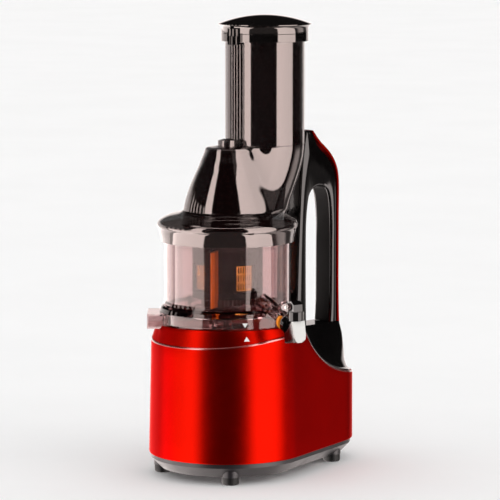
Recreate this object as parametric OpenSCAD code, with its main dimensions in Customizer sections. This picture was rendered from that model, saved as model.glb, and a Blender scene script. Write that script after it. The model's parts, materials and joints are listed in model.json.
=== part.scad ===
// Vertical cold press juicer with a wide feed tube.
// Sizes are millimetres. Pieces of the juicing set are drawn round the drive
// axis and carried to their place by on_axis().

/* [Base] */
// How far the base's round front stands out beyond the bowl's skirt
nose_step = 11.5; // [8:0.5:18]
// Radius of the base's round tail
tail_r = 51; // [44:1:56]
// Distance from the drive axis to the tail's centre
tail_reach = 118; // [108:1:124]
// Height of the feet
foot_h = 8; // [5:0.5:12]
// Radius of a foot
foot_r = 9; // [7:0.5:11]
// Height of the bottom plate, from its flat underside to the shell
plate_h = 15; // [12:1:20]
// Height of the bottom plate's upright lip
plate_lip = 4.5; // [3:0.5:7]
// How far the bottom plate draws in from its lip to its flat underside
plate_draft = 10; // [5:0.5:12]
// Wall of the base shell
shell_wall = 3; // [2:0.5:4]
// Height of the deck that the bowl stands on
deck_z = 155.5; // [154:0.5:162]
// Height of the shell's edge at the front
nose_edge_z = 143; // [138:1:146]
// Height of the shell's edge at the sides
side_edge_z = 152; // [148:1:154]
// Height of the shell's edge at the tail
tail_edge_z = 91; // [86:0.5:100]

/* [Handle] */
// Width of the handle
handle_w = 25.4; // [22:0.2:28]
// Thickness of the red back cover
cover_t = 4; // [3:0.25:5]
// Height of the handle's top
handle_top_z = 355; // [345:1:365]

/* [Bowl] */
// Outer radius of the bowl
bowl_r = 66; // [65:0.5:67]
// Wall of the bowl
bowl_wall = 3; // [2:0.25:3.5]
// How far the bowl's skirt stands out from its wall
skirt_step = 5.5; // [4.5:0.25:6]
// Height of the inside of the bowl, from floor to rim
bowl_depth = 84; // [80:1:90]
// Outer width of the pulp duct
duct_w = 48; // [40:1:52]
// Direction of the pulp duct, degrees from +X
duct_az = 225; // [220:1:230]
// Direction of the juice spout, degrees from +X
spout_az = -10; // [-16:1:-4]
// Downward slope of the juice spout
spout_slope = 20.5; // [16:0.5:24]
// Outer radius of the juice spout
spout_r = 7.5; // [7:0.25:9]
// Bore radius of the juice spout
spout_bore = 5.5; // [4.5:0.25:6]
// Distance of the spout's mouth from the drive axis
spout_reach = 107; // [102:1:112]

/* [Juicing set] */
// Gear module of the auger and brush gears
set_m = 1.5; // [1.45:0.01:1.52]
// Outer radius of the strainer frame
strainer_r = 37; // [36.5:0.1:37.4]
// Number of windows in the strainer
windows = 4; // [3:1:6]
// Height of a strainer window
window_h = 26; // [20:1:30]
// Number of slot columns in a window
slot_columns = 7; // [4:1:8]
// Number of slot rows in a window
slot_rows = 3; // [2:1:4]
// Turns of the auger's flight
auger_turns = 2.1; // [1.5:0.1:2.5]
// Width across the flats of the drive hexagon
hex_af = 12; // [10:0.5:13]

/* [Hopper] */
// Outer radius of the feed tube
tube_r = 42; // [40:0.5:44]
// Wall of the hopper and its feed tube
hopper_wall = 3; // [2.5:0.25:3.5]
// Distance of the feed tube's axis behind the drive axis
tube_back = 55.6; // [52:0.5:58]
// Height of the feed tube's top
tube_top_z = 460; // [440:1:480]
// How far the hopper's collar stands out from the bowl's wall
collar_step = 7.7; // [7:0.1:8.5]
// Height of the cone's flat top above the floor
cone_top_z = 345; // [338:1:350]
// Height of the lid's dome
dome_h = 9.5; // [6:0.5:14]

/* [Drive] */
// Centre distance of the gear pairs in the gearbox
gear_c = 35; // [35:0.1:36]
// Thickness of the stator stack
stator_h = 45; // [38:1:48]
// Radius of the rotor
rotor_r = 19.7; // [17:0.1:22]

/* [Fits] */
// Running clearance of a shaft in its bore, on the radius
run_fit = 0.05; // [0.02:0.01:0.1]
// Gap between pieces that are put together and taken apart
slip = 0.3; // [0.2:0.05:0.5]

/* [Hidden] */
$fn = 96;

// ---- shared heights and radii ----
skirt_r = bowl_r + skirt_step;       // outer radius of the bowl's skirt
nose_r = skirt_r + nose_step;        // radius of the base's round front
collar_r = bowl_r + collar_step;     // outer radius of the hopper's collar
plate_top_z = foot_h + plate_h;      // top of the bottom plate, foot of the shell
edge_inset = 3.5;                    // the shell's edge stands in from its foot
tail_inset = 0.9;                    // and less so at the tail
rim_r = skirt_r + 4.3;               // outer radius of the raised rim round the bowl
rim_in_r = skirt_r + 1.7;            // inner radius of that rim
rim_z = deck_z + 5.5;
drive_hole_r = 24;                   // opening in the deck
deck_t = 3;

floor_z = deck_z + 22.5;             // top of the bowl's floor
floor_t = 3;
bowl_in_r = bowl_r - bowl_wall;
bowl_rim_z = floor_z + bowl_depth;

// the row's origin is the middle of the whole outline, on the floor
cap_reach = spout_reach + 25.2;
axis_x = -(cap_reach * cos(spout_az) - nose_r) / 2;
axis_y = -(tail_reach + tail_r - nose_r) / 2;
module on_axis() {
  translate([axis_x, axis_y, 0]) children();
}

// ---- small helpers ----
function mix(a, b, t) = a + (b - a) * t;
function clamp(v, lo, hi) = min(hi, max(lo, v));
function smooth(v, lo, hi) =
  let (t = clamp((v - lo) / (hi - lo), 0, 1)) t * t * (3 - 2 * t);
// a smooth curve through a list of points, at parameter 0 .. len - 1
function curve_at(p, t) =
  let (
    i = clamp(floor(t), 0, len(p) - 2),
    f = t - i,
    a = p[max(i - 1, 0)],
    b = p[i],
    c = p[i + 1],
    d = p[min(i + 2, len(p) - 1)]
  )
  0.5 * (2 * b + (c - a) * f + (2 * a - 5 * b + 4 * c - d) * f * f
         + (3 * b - a - 3 * c + d) * f * f * f);
function polar(r, a) = [r * cos(a), r * sin(a)];

// faces between closed rings of n points; the grid closes on itself when looped
function ring_faces(rings, n, looped) = [
  for (i = [0 : rings - (looped ? 1 : 2)], j = [0 : n - 1])
    let (
      a = i * n + j,
      b = i * n + (j + 1) % n,
      c = ((i + 1) % rings) * n + (j + 1) % n,
      d = ((i + 1) % rings) * n + j
    )
    each [[a, b, c], [a, c, d]]
];
// a solid whose rings run round a loop
module loop_solid(grid) {
  polyhedron([for (ring = grid) each ring], ring_faces(len(grid), len(grid[0]), true), 4);
}
// a solid of stacked rings with a flat cap at each end
module stack_solid(grid) {
  n = len(grid[0]);
  last = (len(grid) - 1) * n;
  polyhedron(
    [for (ring = grid) each ring],
    concat(
      ring_faces(len(grid), n, false),
      [[for (j = [n - 1 : -1 : 0]) j]],
      [[for (j = [0 : n - 1]) last + j]]
    ),
    4
  );
}
module tube(r_out, r_in, h) {
  difference() {
    cylinder(r = r_out, h = h);
    translate([0, 0, -1]) cylinder(r = r_in, h = h + 2);
  }
}
module hex(af, h) {
  cylinder(r = af / sqrt(3), h = h, $fn = 6);
}
// a stretch of a ring between two angles
module arc_bar(r_in, r_out, from, to, h) {
  steps = 8;
  linear_extrude(h) polygon(concat(
    [for (k = [0 : steps]) polar(r_out, mix(from, to, k / steps))],
    [for (k = [steps : -1 : 0]) polar(r_in, mix(from, to, k / steps))]
  ));
}

// ---- gears: involute teeth, pressure angle 25 degrees ----
press_a = 25;
add_k = 0.8;
ded_k = 1.1;
backlash = 0.16;
function inv_deg(a) = tan(a) * 180 / PI - a;
function tooth_half(m, z, r, thin) =
  let (rp = m * z / 2, rb = rp * cos(press_a), rr = max(r, rb))
  90 / z + inv_deg(press_a) - inv_deg(acos(rb / rr)) - thin / 2 / rp * 180 / PI;
function gear_points(m, z, add, ded, thin, turn) =
  let (
    rp = m * z / 2,
    low = rp - ded * m,
    high = rp + add * m,
    rs = [low, max(low + 0.01, rp * cos(press_a)), rp, high]
  )
  [
    for (i = [0 : z - 1]) each [
      for (k = [0 : 3]) polar(rs[k], turn + i * 360 / z - tooth_half(m, z, rs[k], thin)),
      for (k = [3 : -1 : 0]) polar(rs[k], turn + i * 360 / z + tooth_half(m, z, rs[k], thin))
    ]
  ];
module gear(m, z, h, turn) {
  linear_extrude(h) polygon(gear_points(m, z, add_k, ded_k, backlash, turn));
}
// turn that brings a gear into mesh with another, which lies at angle a from it
function mesh_turn(a, z_from, turn_from, z_to) =
  a + 180 - 180 / z_to + (a - turn_from) * z_from / z_to;

sun_z = 24;
planet_z = 15;
ring_z = sun_z + 2 * planet_z;
planet_c = set_m * (sun_z + planet_z) / 2;
planet_az = [45, 165, 285];
ring_turn = planet_az[0] * (1 + sun_z / ring_z) + 180 * (planet_z - 1) / ring_z;
set_gear_z = floor_z + 1.2;          // foot of the auger, planet and ring gears
set_gear_h = 8;

motor_pinion_z = 12;
lay_wheel_z = 58;
lay_pinion_z = 12;
output_z = 44;
stage1_m = 2 * gear_c / (motor_pinion_z + lay_wheel_z);
stage2_m = 2 * gear_c / (lay_pinion_z + output_z);

// ---- outline of the base, seen from above, as a radius from the drive axis ----
side_a = asin((nose_r - tail_r) / tail_reach);
function egg_r(a, inset) =
  let (
    c = abs(cos(a)),
    s = sin(a),
    at = atan2(s, c),
    rt = tail_r - inset,
    tail_from = atan2(tail_reach + rt * sin(side_a), rt * cos(side_a))
  )
  at < side_a ? nose_r - inset
  : at < tail_from ? (nose_r - inset) / (cos(side_a) * c + sin(side_a) * s)
  : s * tail_reach + sqrt(rt * rt - pow(tail_reach * c, 2));
egg_n = 84;
function egg(inset) = [for (i = [0 : egg_n - 1])
  let (a = i * 360 / egg_n) polar(egg_r(a, inset), a)];

// height of the shell's edge: rises from the nose, then sweeps down to the tail
swoop_y = 45;
swoop_len = 42;
function edge_z(y) =
  let (
    front = mix(nose_edge_z, side_edge_z, smooth(y, -nose_r, 15)),
    fall = tail_edge_z + (side_edge_z - tail_edge_z) * exp(-max(0, y - swoop_y) / swoop_len)
  )
  mix(front, fall, smooth(y, swoop_y - 6, swoop_y + 6));
// the rim dips where the pulp duct crosses it
function rim_at(a) =
  rim_z - (rim_z - deck_z - 0.2) * (1 - smooth(abs(a - duct_az), 19, 27));
function edge_in(a) = mix(edge_inset, tail_inset, smooth(sin(a), 0.5, 0.97));
// top of the shell at a point r out from the axis
function shell_top(a, r) =
  let (
    y = r * sin(a),
    t = clamp((egg_r(a, edge_in(a)) - r) / (egg_r(a, edge_in(a)) - rim_r), 0, 1),
    w = 1 - smooth(y, swoop_y - 5, swoop_y + 7)
  )
  edge_z(y) + w * (rim_at(a) - edge_z(y)) * t;

module base_shell() {
  span = [0.15, 0.35, 0.6, 0.85];
  color("firebrick") on_axis() loop_solid([
    for (i = [0 : egg_n - 1])
      let (
        a = i * 360 / egg_n,
        e = egg_r(a, edge_in(a)),
        ez = edge_z(e * sin(a)),
        inner = e - shell_wall,
        out = [
          [egg_r(a, 0.6), plate_top_z],
          [egg_r(a, 0), plate_top_z + 2],
          [egg_r(a, edge_in(a) - 0.7), ez - 4],
          [egg_r(a, edge_in(a) - 0.5), ez - 1.5],
          [e, ez],
          each [for (t = span) let (r = mix(e, rim_r, t)) [r, shell_top(a, r)]],
          [rim_r, shell_top(a, rim_r)],
          [rim_in_r, max(deck_z + 0.1, shell_top(a, rim_r) - 0.8)],
          [rim_in_r, deck_z],
          [drive_hole_r, deck_z],
          [drive_hole_r, deck_z - deck_t],
          [rim_in_r - 2.4, deck_z - deck_t],
          [rim_in_r - 2.5, min(shell_top(a, rim_r), deck_z) - deck_t - 0.6],
          each [for (t = [0.7, 0.35]) let (r = mix(inner, rim_r - 1.6, t))
            [r, min(shell_top(a, r), deck_z) - deck_t - 0.6]],
          [inner, min(ez, deck_z) - deck_t - 2],
          [egg_r(a, shell_wall), plate_top_z]
        ]
      )
      [for (p = out) [each polar(p[0], a), p[1]]]
  ]);
}

// ---- bottom plate, feet and screws ----
// a solid dish: its flat bottom draws the outline of the base in, and it is upright from wall_z up
module dish(flat_inset, flat_z, wall_inset, wall_z, top_z) {
  skin = 0.01;
  hull() {
    translate([0, 0, flat_z]) linear_extrude(skin) polygon(egg(flat_inset));
    translate([0, 0, wall_z]) linear_extrude(top_z - wall_z) polygon(egg(wall_inset));
  }
}
lip_inset = 2;                       // the lip stands in from the shell's foot
plate_wall = 3.5;                    // wall of the plate, measured level
foot_at = [[-51, -46], [51, -46], [-35, 123], [35, 123]];
screw_at = [[-62, 8], [62, 8], [-38, 92], [38, 92]];
plate_t = 3;
gland_r = 4.5;
gland_z = foot_h + plate_t + gland_r + 1.9;
mount_at = [[-40, -40], [40, -40], [-40, 40], [40, 40]];
mount_r = 8;
bolt_r = 3;
capacitor_at = [0, 108];
capacitor_r = 17;

module bottom_plate() {
  color("black") on_axis() difference() {
    union() {
      difference() {
        dish(lip_inset + plate_draft, foot_h, lip_inset, plate_top_z - plate_lip, plate_top_z - 0.2);
        dish(lip_inset + plate_draft + plate_wall - plate_t * plate_draft / (plate_h - plate_lip),
          foot_h + plate_t, lip_inset + plate_wall, plate_top_z - plate_lip, plate_top_z + 1);
      }
      // rim that the shell slips over
      translate([0, 0, plate_top_z - 2]) linear_extrude(7) difference() {
        polygon(egg(shell_wall + slip));
        polygon(egg(lip_inset + plate_wall));
      }
      // stubs that carry the feet and the cord gland out through the sloping wall
      for (p = foot_at) translate([p[0], p[1], foot_h]) cylinder(r = foot_r + 0.5, h = plate_t + 4);
      intersection() {
        translate([0, tail_reach + tail_r - 11, gland_z]) rotate([-90, 0, 0])
          cylinder(r = gland_r + 4.4, h = 20);
        translate([0, 0, foot_h]) linear_extrude(plate_h - 0.2) polygon(egg(lip_inset));
      }
      for (p = mount_at) translate([p[0], p[1], foot_h + 1]) cylinder(r = 11, h = plate_t + 3);
      for (p = screw_at) translate([p[0], p[1], foot_h + 1]) cylinder(r = 5, h = plate_t + 6);
      translate([capacitor_at[0], capacitor_at[1], foot_h + 1])
        tube(capacitor_r + 3, capacitor_r + slip, plate_t + 9);
    }
    for (p = foot_at) translate([p[0], p[1], foot_h - 1]) {
      cylinder(r = 4, h = plate_t + 2);
      translate([0, 0, plate_t + 1]) cylinder(r = 5.4, h = 12);
    }
    for (p = mount_at) translate([p[0], p[1], foot_h - 1]) {
      cylinder(r = 4.4, h = 4.6);
      cylinder(r = bolt_r + 0.1, h = plate_t + 8);
    }
    for (p = screw_at) translate([p[0], p[1], foot_h - 1]) {
      cylinder(r = 1.8, h = plate_t + 10);
      cylinder(r = 3.6, h = 4);
    }
    // intake slots for the fan
    for (x = [-24 : 8 : 24]) translate([x - 1.75, -20, foot_h - 1]) cube([3.5, 40, plate_t + 2]);
    translate([0, tail_reach + tail_r - 12, gland_z]) rotate([-90, 0, 0]) {
      cylinder(r = gland_r + 0.1, h = 20);
      cylinder(r = gland_r + 1.8, h = 6.6);
    }
  }
}
module feet() {
  color("black") on_axis() for (p = foot_at) translate([p[0], p[1], 0]) {
    cylinder(r1 = foot_r - 1, r2 = foot_r, h = 1.5);
    translate([0, 0, 1.5]) cylinder(r = foot_r, h = foot_h - 1.5);
    translate([0, 0, foot_h - 0.5]) cylinder(r = 4 - 0.05, h = plate_t + 0.5);
    translate([0, 0, foot_h + plate_t]) cylinder(r1 = 5, r2 = 3.5, h = 2);
  }
}
module plate_screws() {
  color("silver") on_axis() for (p = screw_at) translate([p[0], p[1], foot_h + 0.6]) {
    cylinder(r = 3.4, h = 2.4);
    translate([0, 0, 2]) cylinder(r = 1.75, h = plate_t + 6);
  }
}
module cord_gland() {
  color("black") on_axis() translate([0, tail_reach + tail_r - 8, gland_z])
    rotate([-90, 0, 0]) difference() {
      union() {
        cylinder(r = gland_r, h = 8);
        cylinder(r = gland_r + 1.5, h = 2.4);
      }
      translate([0, 0, -1]) cylinder(r = 3.3, h = 12);
    }
}

// ---- handle ----
post_foot_z = deck_z - 8.5;          // where the handle's two posts stand
top_k = handle_top_z - 355;
half_w = handle_w / 2;
// outer outline of the black frame, as (back, up), front foot over the top to the back foot
frame_out = [
  [90, post_foot_z], [92, 181], [93.6, 225], [95.5, 262], [98.5, 305], [103, 340],
  [106, 354 + top_k], [109, 355.6 + top_k], [114.5, 354.4 + top_k], [124, 340.5],
  [139, 327.5], [148.6, 314.5], [152.6, 298], [153.7, 262], [153.7, 222], [153.7, 190],
  [154.1, 165], [154.7, post_foot_z]
];
// the finger opening, matched point for point
frame_in = [
  [108, post_foot_z], [107.4, 181], [107.3, 225], [107.8, 258], [110, 281], [113, 288.5],
  [116, 291.8], [119, 293.6], [123, 295], [128, 295.6],
  [134.5, 294.4], [140, 289.8], [143.6, 278], [145.4, 255], [145.4, 222], [145.3, 190],
  [144.8, 165], [143.5, post_foot_z]
];
frame_steps = 3;
module handle_frame() {
  n = (len(frame_out) - 1) * frame_steps;
  color("black") on_axis() stack_solid([
    for (i = [0 : n])
      let (
        o = curve_at(frame_out, i / frame_steps),
        v = curve_at(frame_in, i / frame_steps),
        c = min(3.2, norm(o - v) / 3),
        u = (o - v) / norm(o - v),
        section = [
          [0, half_w - c], [0.3 * c, half_w - 0.3 * c], [c, half_w],
          [norm(o - v) - c, half_w], [norm(o - v) - 0.3 * c, half_w - 0.3 * c],
          [norm(o - v), half_w - c]
        ],
        both = concat(section, [for (k = [5 : -1 : 0]) [section[k][0], -section[k][1]]])
      )
      [for (p = both) [p[1], v[0] + u[0] * p[0], v[1] + u[1] * p[0]]]
  ]);
}

// red cover down the handle's back, crowned across its width
cover_line = [
  [115.3, 355.2 + top_k], [118, 350.5], [126.3, 341.6], [141, 329.3], [150.4, 316], [154.2, 299],
  [154.2, 262], [154.2, 222], [154.2, 190], [154.7, 165], [155.4, post_foot_z], [157.2, 125],
  [160.2, 108], [162.6, edge_z(tail_reach + tail_r) + 1.6]
];
cover_steps = 3;
module handle_cover() {
  n = (len(cover_line) - 1) * cover_steps;
  crown = [[1, 0], [1, 0.5], [0.86, 0.78], [0.5, 0.94], [0, 1], [-0.5, 0.94], [-0.86, 0.78],
           [-1, 0.5], [-1, 0]];
  color("firebrick") on_axis() stack_solid([
    for (i = [0 : n])
      let (
        t = i / cover_steps,
        p = curve_at(cover_line, t),
        d = curve_at(cover_line, min(t + 0.05, n / cover_steps))
            - curve_at(cover_line, max(t - 0.05, 0)),
        out = [-d[1], d[0]] / norm(d),
        thick = cover_t * min(1, 0.55 + i / 6)
      )
      [for (q = crown) [q[0] * half_w, p[0] + out[0] * q[1] * thick,
                        p[1] + out[1] * q[1] * thick]]
  ]);
}

// black saddle: stands on the shell's swept top and rises to the handle's posts
saddle_in_r = rim_r + 1.2;
saddle_gap = 0.9;
saddle_back = 158;
saddle_side = 12;
ridge_half = half_w + 0.8;
function egg_half(y) =
  let (
    r = tail_r - tail_inset - 2.5,
    s = y - tail_reach,
    line = ((nose_r - edge_inset) - sin(side_a) * y) / cos(side_a)
  )
  s > r * sin(side_a) ? (abs(s) < r ? sqrt(r * r - s * s) : 0) : line;
function saddle_top(p) =
  let (
    ridge = post_foot_z - 0.4
            + (rim_z - 1 - post_foot_z) * (1 - smooth(norm(p), saddle_in_r, saddle_in_r + 12)),
    over = max(0, abs(p[0]) - ridge_half) / max(0.5, egg_half(p[1]) - ridge_half),
    keep = pow(max(0, 1 - over), 2.1)
  )
  max(mix(edge_z(p[1]) + 1.2, ridge, keep), saddle_low(p) + 1);
module handle_saddle() {
  a_mid = acos(ridge_half / saddle_in_r);
  side = [for (k = [0 : saddle_side])
    let (
      t = k / saddle_side,
      a = mix(38, a_mid, t),
      b = mix(34.5, atan2(saddle_back, ridge_half + 0.9), pow(t, 0.75))
    )
    [polar(saddle_in_r, a), polar(egg_r(b, edge_in(b) + 0.5 + 2 * t * t), b)]];
  middle = [for (x = [ridge_half - 0.4, ridge_half / 2, 0])
    [[x, sqrt(pow(saddle_in_r, 2) - x * x)], [x, saddle_back]]];
  right = concat(side, middle);
  n = len(right);
  columns = concat(right, [for (k = [n - 2 : -1 : 0])
    [[-right[k][0][0], right[k][0][1]], [-right[k][1][0], right[k][1][1]]]]);
  steps = [0, 0.04, 0.15, 0.27, 0.39, 0.51, 0.63, 0.75, 0.87, 0.96, 1];
  last = len(steps) - 1;
  color("black") on_axis() stack_solid([
    for (c = columns) concat(
      [for (k = [0 : last]) let (p = mix(c[0], c[1], steps[k])) [p[0], p[1], saddle_low(p)]],
      [for (k = [last : -1 : 0])
        let (p = mix(c[0], c[1], steps[k]))
        [p[0], p[1], k == 0 || k == last ? saddle_low(p) + 1 : saddle_top(p)]]
    )
  ]);
}
function saddle_low(p) =
  shell_top(atan2(p[1], p[0]), max(norm(p), rim_r + 0.1)) + saddle_gap
  + 1.2 * (1 - smooth(abs(p[1] - swoop_y - 4), 5, 11));

// rocker switch on the handle's back slope
switch_mid = (cover_line[2] + cover_line[3]) / 2;
switch_tilt = atan2(cover_line[3][1] - cover_line[2][1], cover_line[3][0] - cover_line[2][0]);
module at_switch() {
  on_axis() translate([0, switch_mid[0], switch_mid[1]]) rotate([switch_tilt, 0, 0])
    translate([0, 0, cover_t + slip]) children();
}
switch_l = 13;
switch_w = 9;
module switch_bezel() {
  color("black") at_switch() difference() {
    translate([-switch_w / 2 - 1.5, -switch_l / 2 - 1.5, 0]) cube([switch_w + 3, switch_l + 3, 2]);
    translate([-switch_w / 2, -switch_l / 2, 0.6]) cube([switch_w, switch_l, 3]);
  }
}
module switch_rocker() {
  color("black") at_switch() translate([-switch_w / 2 + slip, 0, 2.2]) rotate([90, 0, 90])
    linear_extrude(switch_w - 2 * slip) polygon([
      [-switch_l / 2 + 0.6, -0.2], [0, -1.2], [switch_l / 2 - 0.6, -0.2],
      [switch_l / 2 - 0.6, 1.3], [0, 0.8], [-switch_l / 2 + 0.6, 1.3]
    ]);
}

// ---- motor ----
mount_h = 16;
bracket_t = 4;
lower_z = foot_h + plate_t + 4 + mount_h;
stator_z = lower_z + bracket_t + 10;
upper_z = stator_z + stator_h + 10;
case_z = upper_z + bracket_t + 2;
pinion_z = case_z + 5;
shaft_r = 4;
bearing_r = 9;
bearing_w = 7;
stack_half = 46;
fan_z = foot_h + plate_t + 5;
module square_plate(h) {
  linear_extrude(h) polygon([for (s = [[1, 1], [-1, 1], [-1, -1], [1, -1]])
    each (s[0] * s[1] > 0
      ? [[s[0] * stack_half, s[1] * (stack_half - 9)], [s[0] * (stack_half - 9), s[1] * stack_half]]
      : [[s[0] * (stack_half - 9), s[1] * stack_half], [s[0] * stack_half, s[1] * (stack_half - 9)]])
  ]);
}
module bolt_holes(h) {
  for (p = mount_at) translate([p[0], p[1], -1]) cylinder(r = bolt_r + 0.1, h = h + 2);
}
module motor_mounts() {
  color("black") on_axis() for (p = mount_at)
    translate([p[0], p[1], foot_h + plate_t + 4]) tube(mount_r, bolt_r + 0.1, mount_h);
}
module bracket(up) {
  difference() {
    union() {
      difference() {
        square_plate(bracket_t);
        for (a = [45 : 90 : 315]) rotate(a) translate([30, 0, -1]) cylinder(r = 9, h = bracket_t + 2);
      }
      translate([0, 0, up ? -4 : 0]) cylinder(r = bearing_r + 3, h = bracket_t + 4);
    }
    translate([0, 0, up ? -5 : 1]) cylinder(r = bearing_r + 0.02, h = bearing_w + 1);
    translate([0, 0, -6]) cylinder(r = shaft_r + 1, h = 20);
    bolt_holes(bracket_t);
  }
}
module lower_bracket() {
  color("silver") on_axis() translate([0, 0, lower_z]) bracket(false);
}
module upper_bracket() {
  color("silver") on_axis() translate([0, 0, upper_z]) bracket(true);
}
module motor_bearings() {
  color("silver") on_axis() for (z = [lower_z + 1, upper_z - 5 + 1])
    translate([0, 0, z]) tube(bearing_r, shaft_r + run_fit, bearing_w);
}
module stator() {
  slots = 16;
  color("gray") on_axis() translate([0, 0, stator_z]) difference() {
    square_plate(stator_h);
    translate([0, 0, -1]) cylinder(r = rotor_r + 0.4, h = stator_h + 2);
    for (k = [0 : slots - 1]) rotate((k + 0.5) * 360 / slots)
      translate([rotor_r + 2.5, -2.2, -1]) cube([11, 4.4, stator_h + 2]);
    bolt_holes(stator_h);
  }
}
module windings() {
  color("peru") on_axis() for (z = [stator_z - 8.2, stator_z + stator_h + 0.2])
    translate([0, 0, z]) rotate_extrude() translate([rotor_r + 9, 4]) circle(r = 4, $fn = 24);
}
module rotor() {
  color("silver") on_axis() {
    translate([0, 0, stator_z + 1]) cylinder(r = rotor_r, h = stator_h - 2);
    translate([0, 0, fan_z - 3]) cylinder(r = shaft_r, h = pinion_z - fan_z + 3.5);
    translate([0, 0, pinion_z])
      gear(stage1_m, motor_pinion_z, 12, 0);
  }
}
module cooling_fan() {
  blades = 9;
  color("white") on_axis() translate([0, 0, fan_z]) difference() {
    union() {
      cylinder(r = 9, h = 10);
      translate([0, 0, 8.5]) cylinder(r = 33, h = 1.5);
      for (k = [0 : blades - 1]) rotate(k * 360 / blades)
        translate([8, -0.8, 0]) cube([25, 1.6, 9]);
    }
    translate([0, 0, -1]) cylinder(r = shaft_r + 0.02, h = 12);
  }
}
gearbox_h = 36;                      // from the case's foot to the cover's top
cover_top_z = case_z + gearbox_h;
module through_bolts() {
  color("silver") on_axis() for (p = mount_at) translate([p[0], p[1], foot_h + 0.5]) {
    cylinder(r = 4, h = 3);
    cylinder(r = bolt_r, h = cover_top_z - foot_h);
    translate([0, 0, cover_top_z - foot_h - 0.4]) cylinder(r = 5.5, h = 4, $fn = 6);
  }
}

// ---- gearbox ----
module case_outline(grow) {
  r = lay_wheel_z * stage1_m / 2 + 3.2 + grow;
  union() {
    square([2 * stack_half + 2 * grow - 0.2, 2 * stack_half + 2 * grow - 0.2], center = true);
    translate([0, -gear_c]) circle(r = r);
  }
}
lay_z = pinion_z + 1;
out_z = lay_z + 12.5;
module gearbox_case() {
  color("silver") on_axis() translate([0, 0, case_z]) difference() {
    union() {
      intersection() {
        linear_extrude(3) case_outline(0);
        cylinder(r = 73, h = 9);
      }
      translate([0, -gear_c, 0]) cylinder(r = 8, h = 5);
    }
    translate([0, 0, -1]) cylinder(r = shaft_r + 1, h = 6);
    translate([0, -gear_c, -1]) cylinder(r = 4, h = 8);
    bolt_holes(4);
  }
}
module gearbox_cover() {
  h = cover_top_z - case_z - 3.1;
  color("silver") on_axis() translate([0, 0, case_z + 3.1]) difference() {
    union() {
      intersection() {
        linear_extrude(h) case_outline(0);
        cylinder(r = 73, h = h);
      }
      translate([0, 0, h - 1]) cylinder(r = 17, h = 9);
    }
    translate([0, 0, -1]) linear_extrude(h - 1.5) intersection() {
      case_outline(-2.2);
      circle(r = 70.8);
    }
    translate([0, 0, h - 4]) cylinder(r = 13 + 0.02, h = 16);
    translate([0, -gear_c, -1]) cylinder(r = 4, h = h + 2);
    bolt_holes(h);
  }
}
module lay_pin() {
  color("silver") on_axis() translate([0, -gear_c, case_z + 0.2])
    cylinder(r = 4 - 0.02, h = cover_top_z - case_z - 0.4);
}
lay_wheel_h = 9;
lay_pinion_h = 11;
lay_neck_h = 3;
module lay_gear() {
  turn = mesh_turn(-90, motor_pinion_z, 0, lay_wheel_z);
  color("tan") on_axis() translate([0, -gear_c, lay_z]) difference() {
    union() {
      gear(stage1_m, lay_wheel_z, lay_wheel_h, turn);
      translate([0, 0, lay_wheel_h - 0.1]) cylinder(r = 6, h = lay_neck_h + 0.2);
      translate([0, 0, lay_wheel_h + lay_neck_h]) gear(stage2_m, lay_pinion_z, lay_pinion_h, 0);
    }
    translate([0, 0, -1]) cylinder(r = 4 + run_fit, h = lay_wheel_h + lay_neck_h + lay_pinion_h + 3);
  }
}
module output_gear() {
  turn = mesh_turn(90, lay_pinion_z, 0, output_z);
  color("tan") on_axis() translate([0, 0, out_z]) difference() {
    gear(stage2_m, output_z, 9.5, turn);
    translate([0, 0, -1]) cylinder(r = 7, h = 12);
    for (a = [30 : 60 : 330]) rotate(a) translate([16, 0, -1]) cylinder(r = 5, h = 12);
  }
}
hex_top_z = floor_z + 20;
module drive_shaft() {
  color("silver") on_axis() {
    translate([0, 0, out_z - 0.4]) cylinder(r = 7 - 0.02, h = 11);
    translate([0, 0, out_z + 10]) cylinder(r = 6, h = deck_z + 4 - out_z - 10);
    translate([0, 0, deck_z + 3]) hex(hex_af - 1.9, hex_top_z - deck_z - 3);
  }
}
module drive_bearing() {
  color("silver") on_axis() translate([0, 0, cover_top_z - 3.4])
    tube(13, 6 + run_fit, 10);
}
capacitor_h = 52;
module run_capacitor() {
  color("white") on_axis() translate([capacitor_at[0], capacitor_at[1], foot_h + plate_t + 0.2]) {
    cylinder(r = capacitor_r, h = capacitor_h);
    for (x = [-6, 6]) translate([x - 2.5, -0.4, capacitor_h - 0.5]) cube([5, 0.8, 7]);
  }
}
board_w = 52;
board_h = 58;
board_t = 1.6;
board_at = [-board_w / 2, 76, foot_h + plate_t + 0.1];
module control_board() {
  color("darkgreen") on_axis() translate(board_at) {
    cube([board_w, board_t, board_h]);
    // relay and motor choke
    translate([6, board_t - 0.1, board_h / 2]) cube([14, 5, 12]);
    translate([board_w - 22, board_t - 0.1, board_h * 0.4]) cube([16, 5, 16]);
  }
}

// ---- bowl ----
tower_r = 12.4;                      // tower round the drive shaft, in the bowl's floor
tower_bore = 9;
tower_top_z = floor_z + 9;
pulp_hole_r = 8;
pulp_at = polar(planet_c, duct_az);
duct_h = 15;
duct_wall = 2;
duct_reach = skirt_r + 12.5;
duct_z = deck_z + 0.8;
skirt_foot_z = deck_z + 0.2;
lug_z = bowl_rim_z - 9;              // bayonet lugs under the hopper's collar
lug_h = 4;
lug_reach = 2.2;
lug_az = [20, 110, 200, 290];
lug_span = 20;

// the mouth's centre: local +X points outward, +Z up
module at_mouth() {
  rotate(spout_az) translate([spout_reach, 0, spout_mouth_z]) children();
}
// the same, with local +X running down the spout
module along_spout() {
  at_mouth() rotate([0, spout_slope, 0]) children();
}
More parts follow.
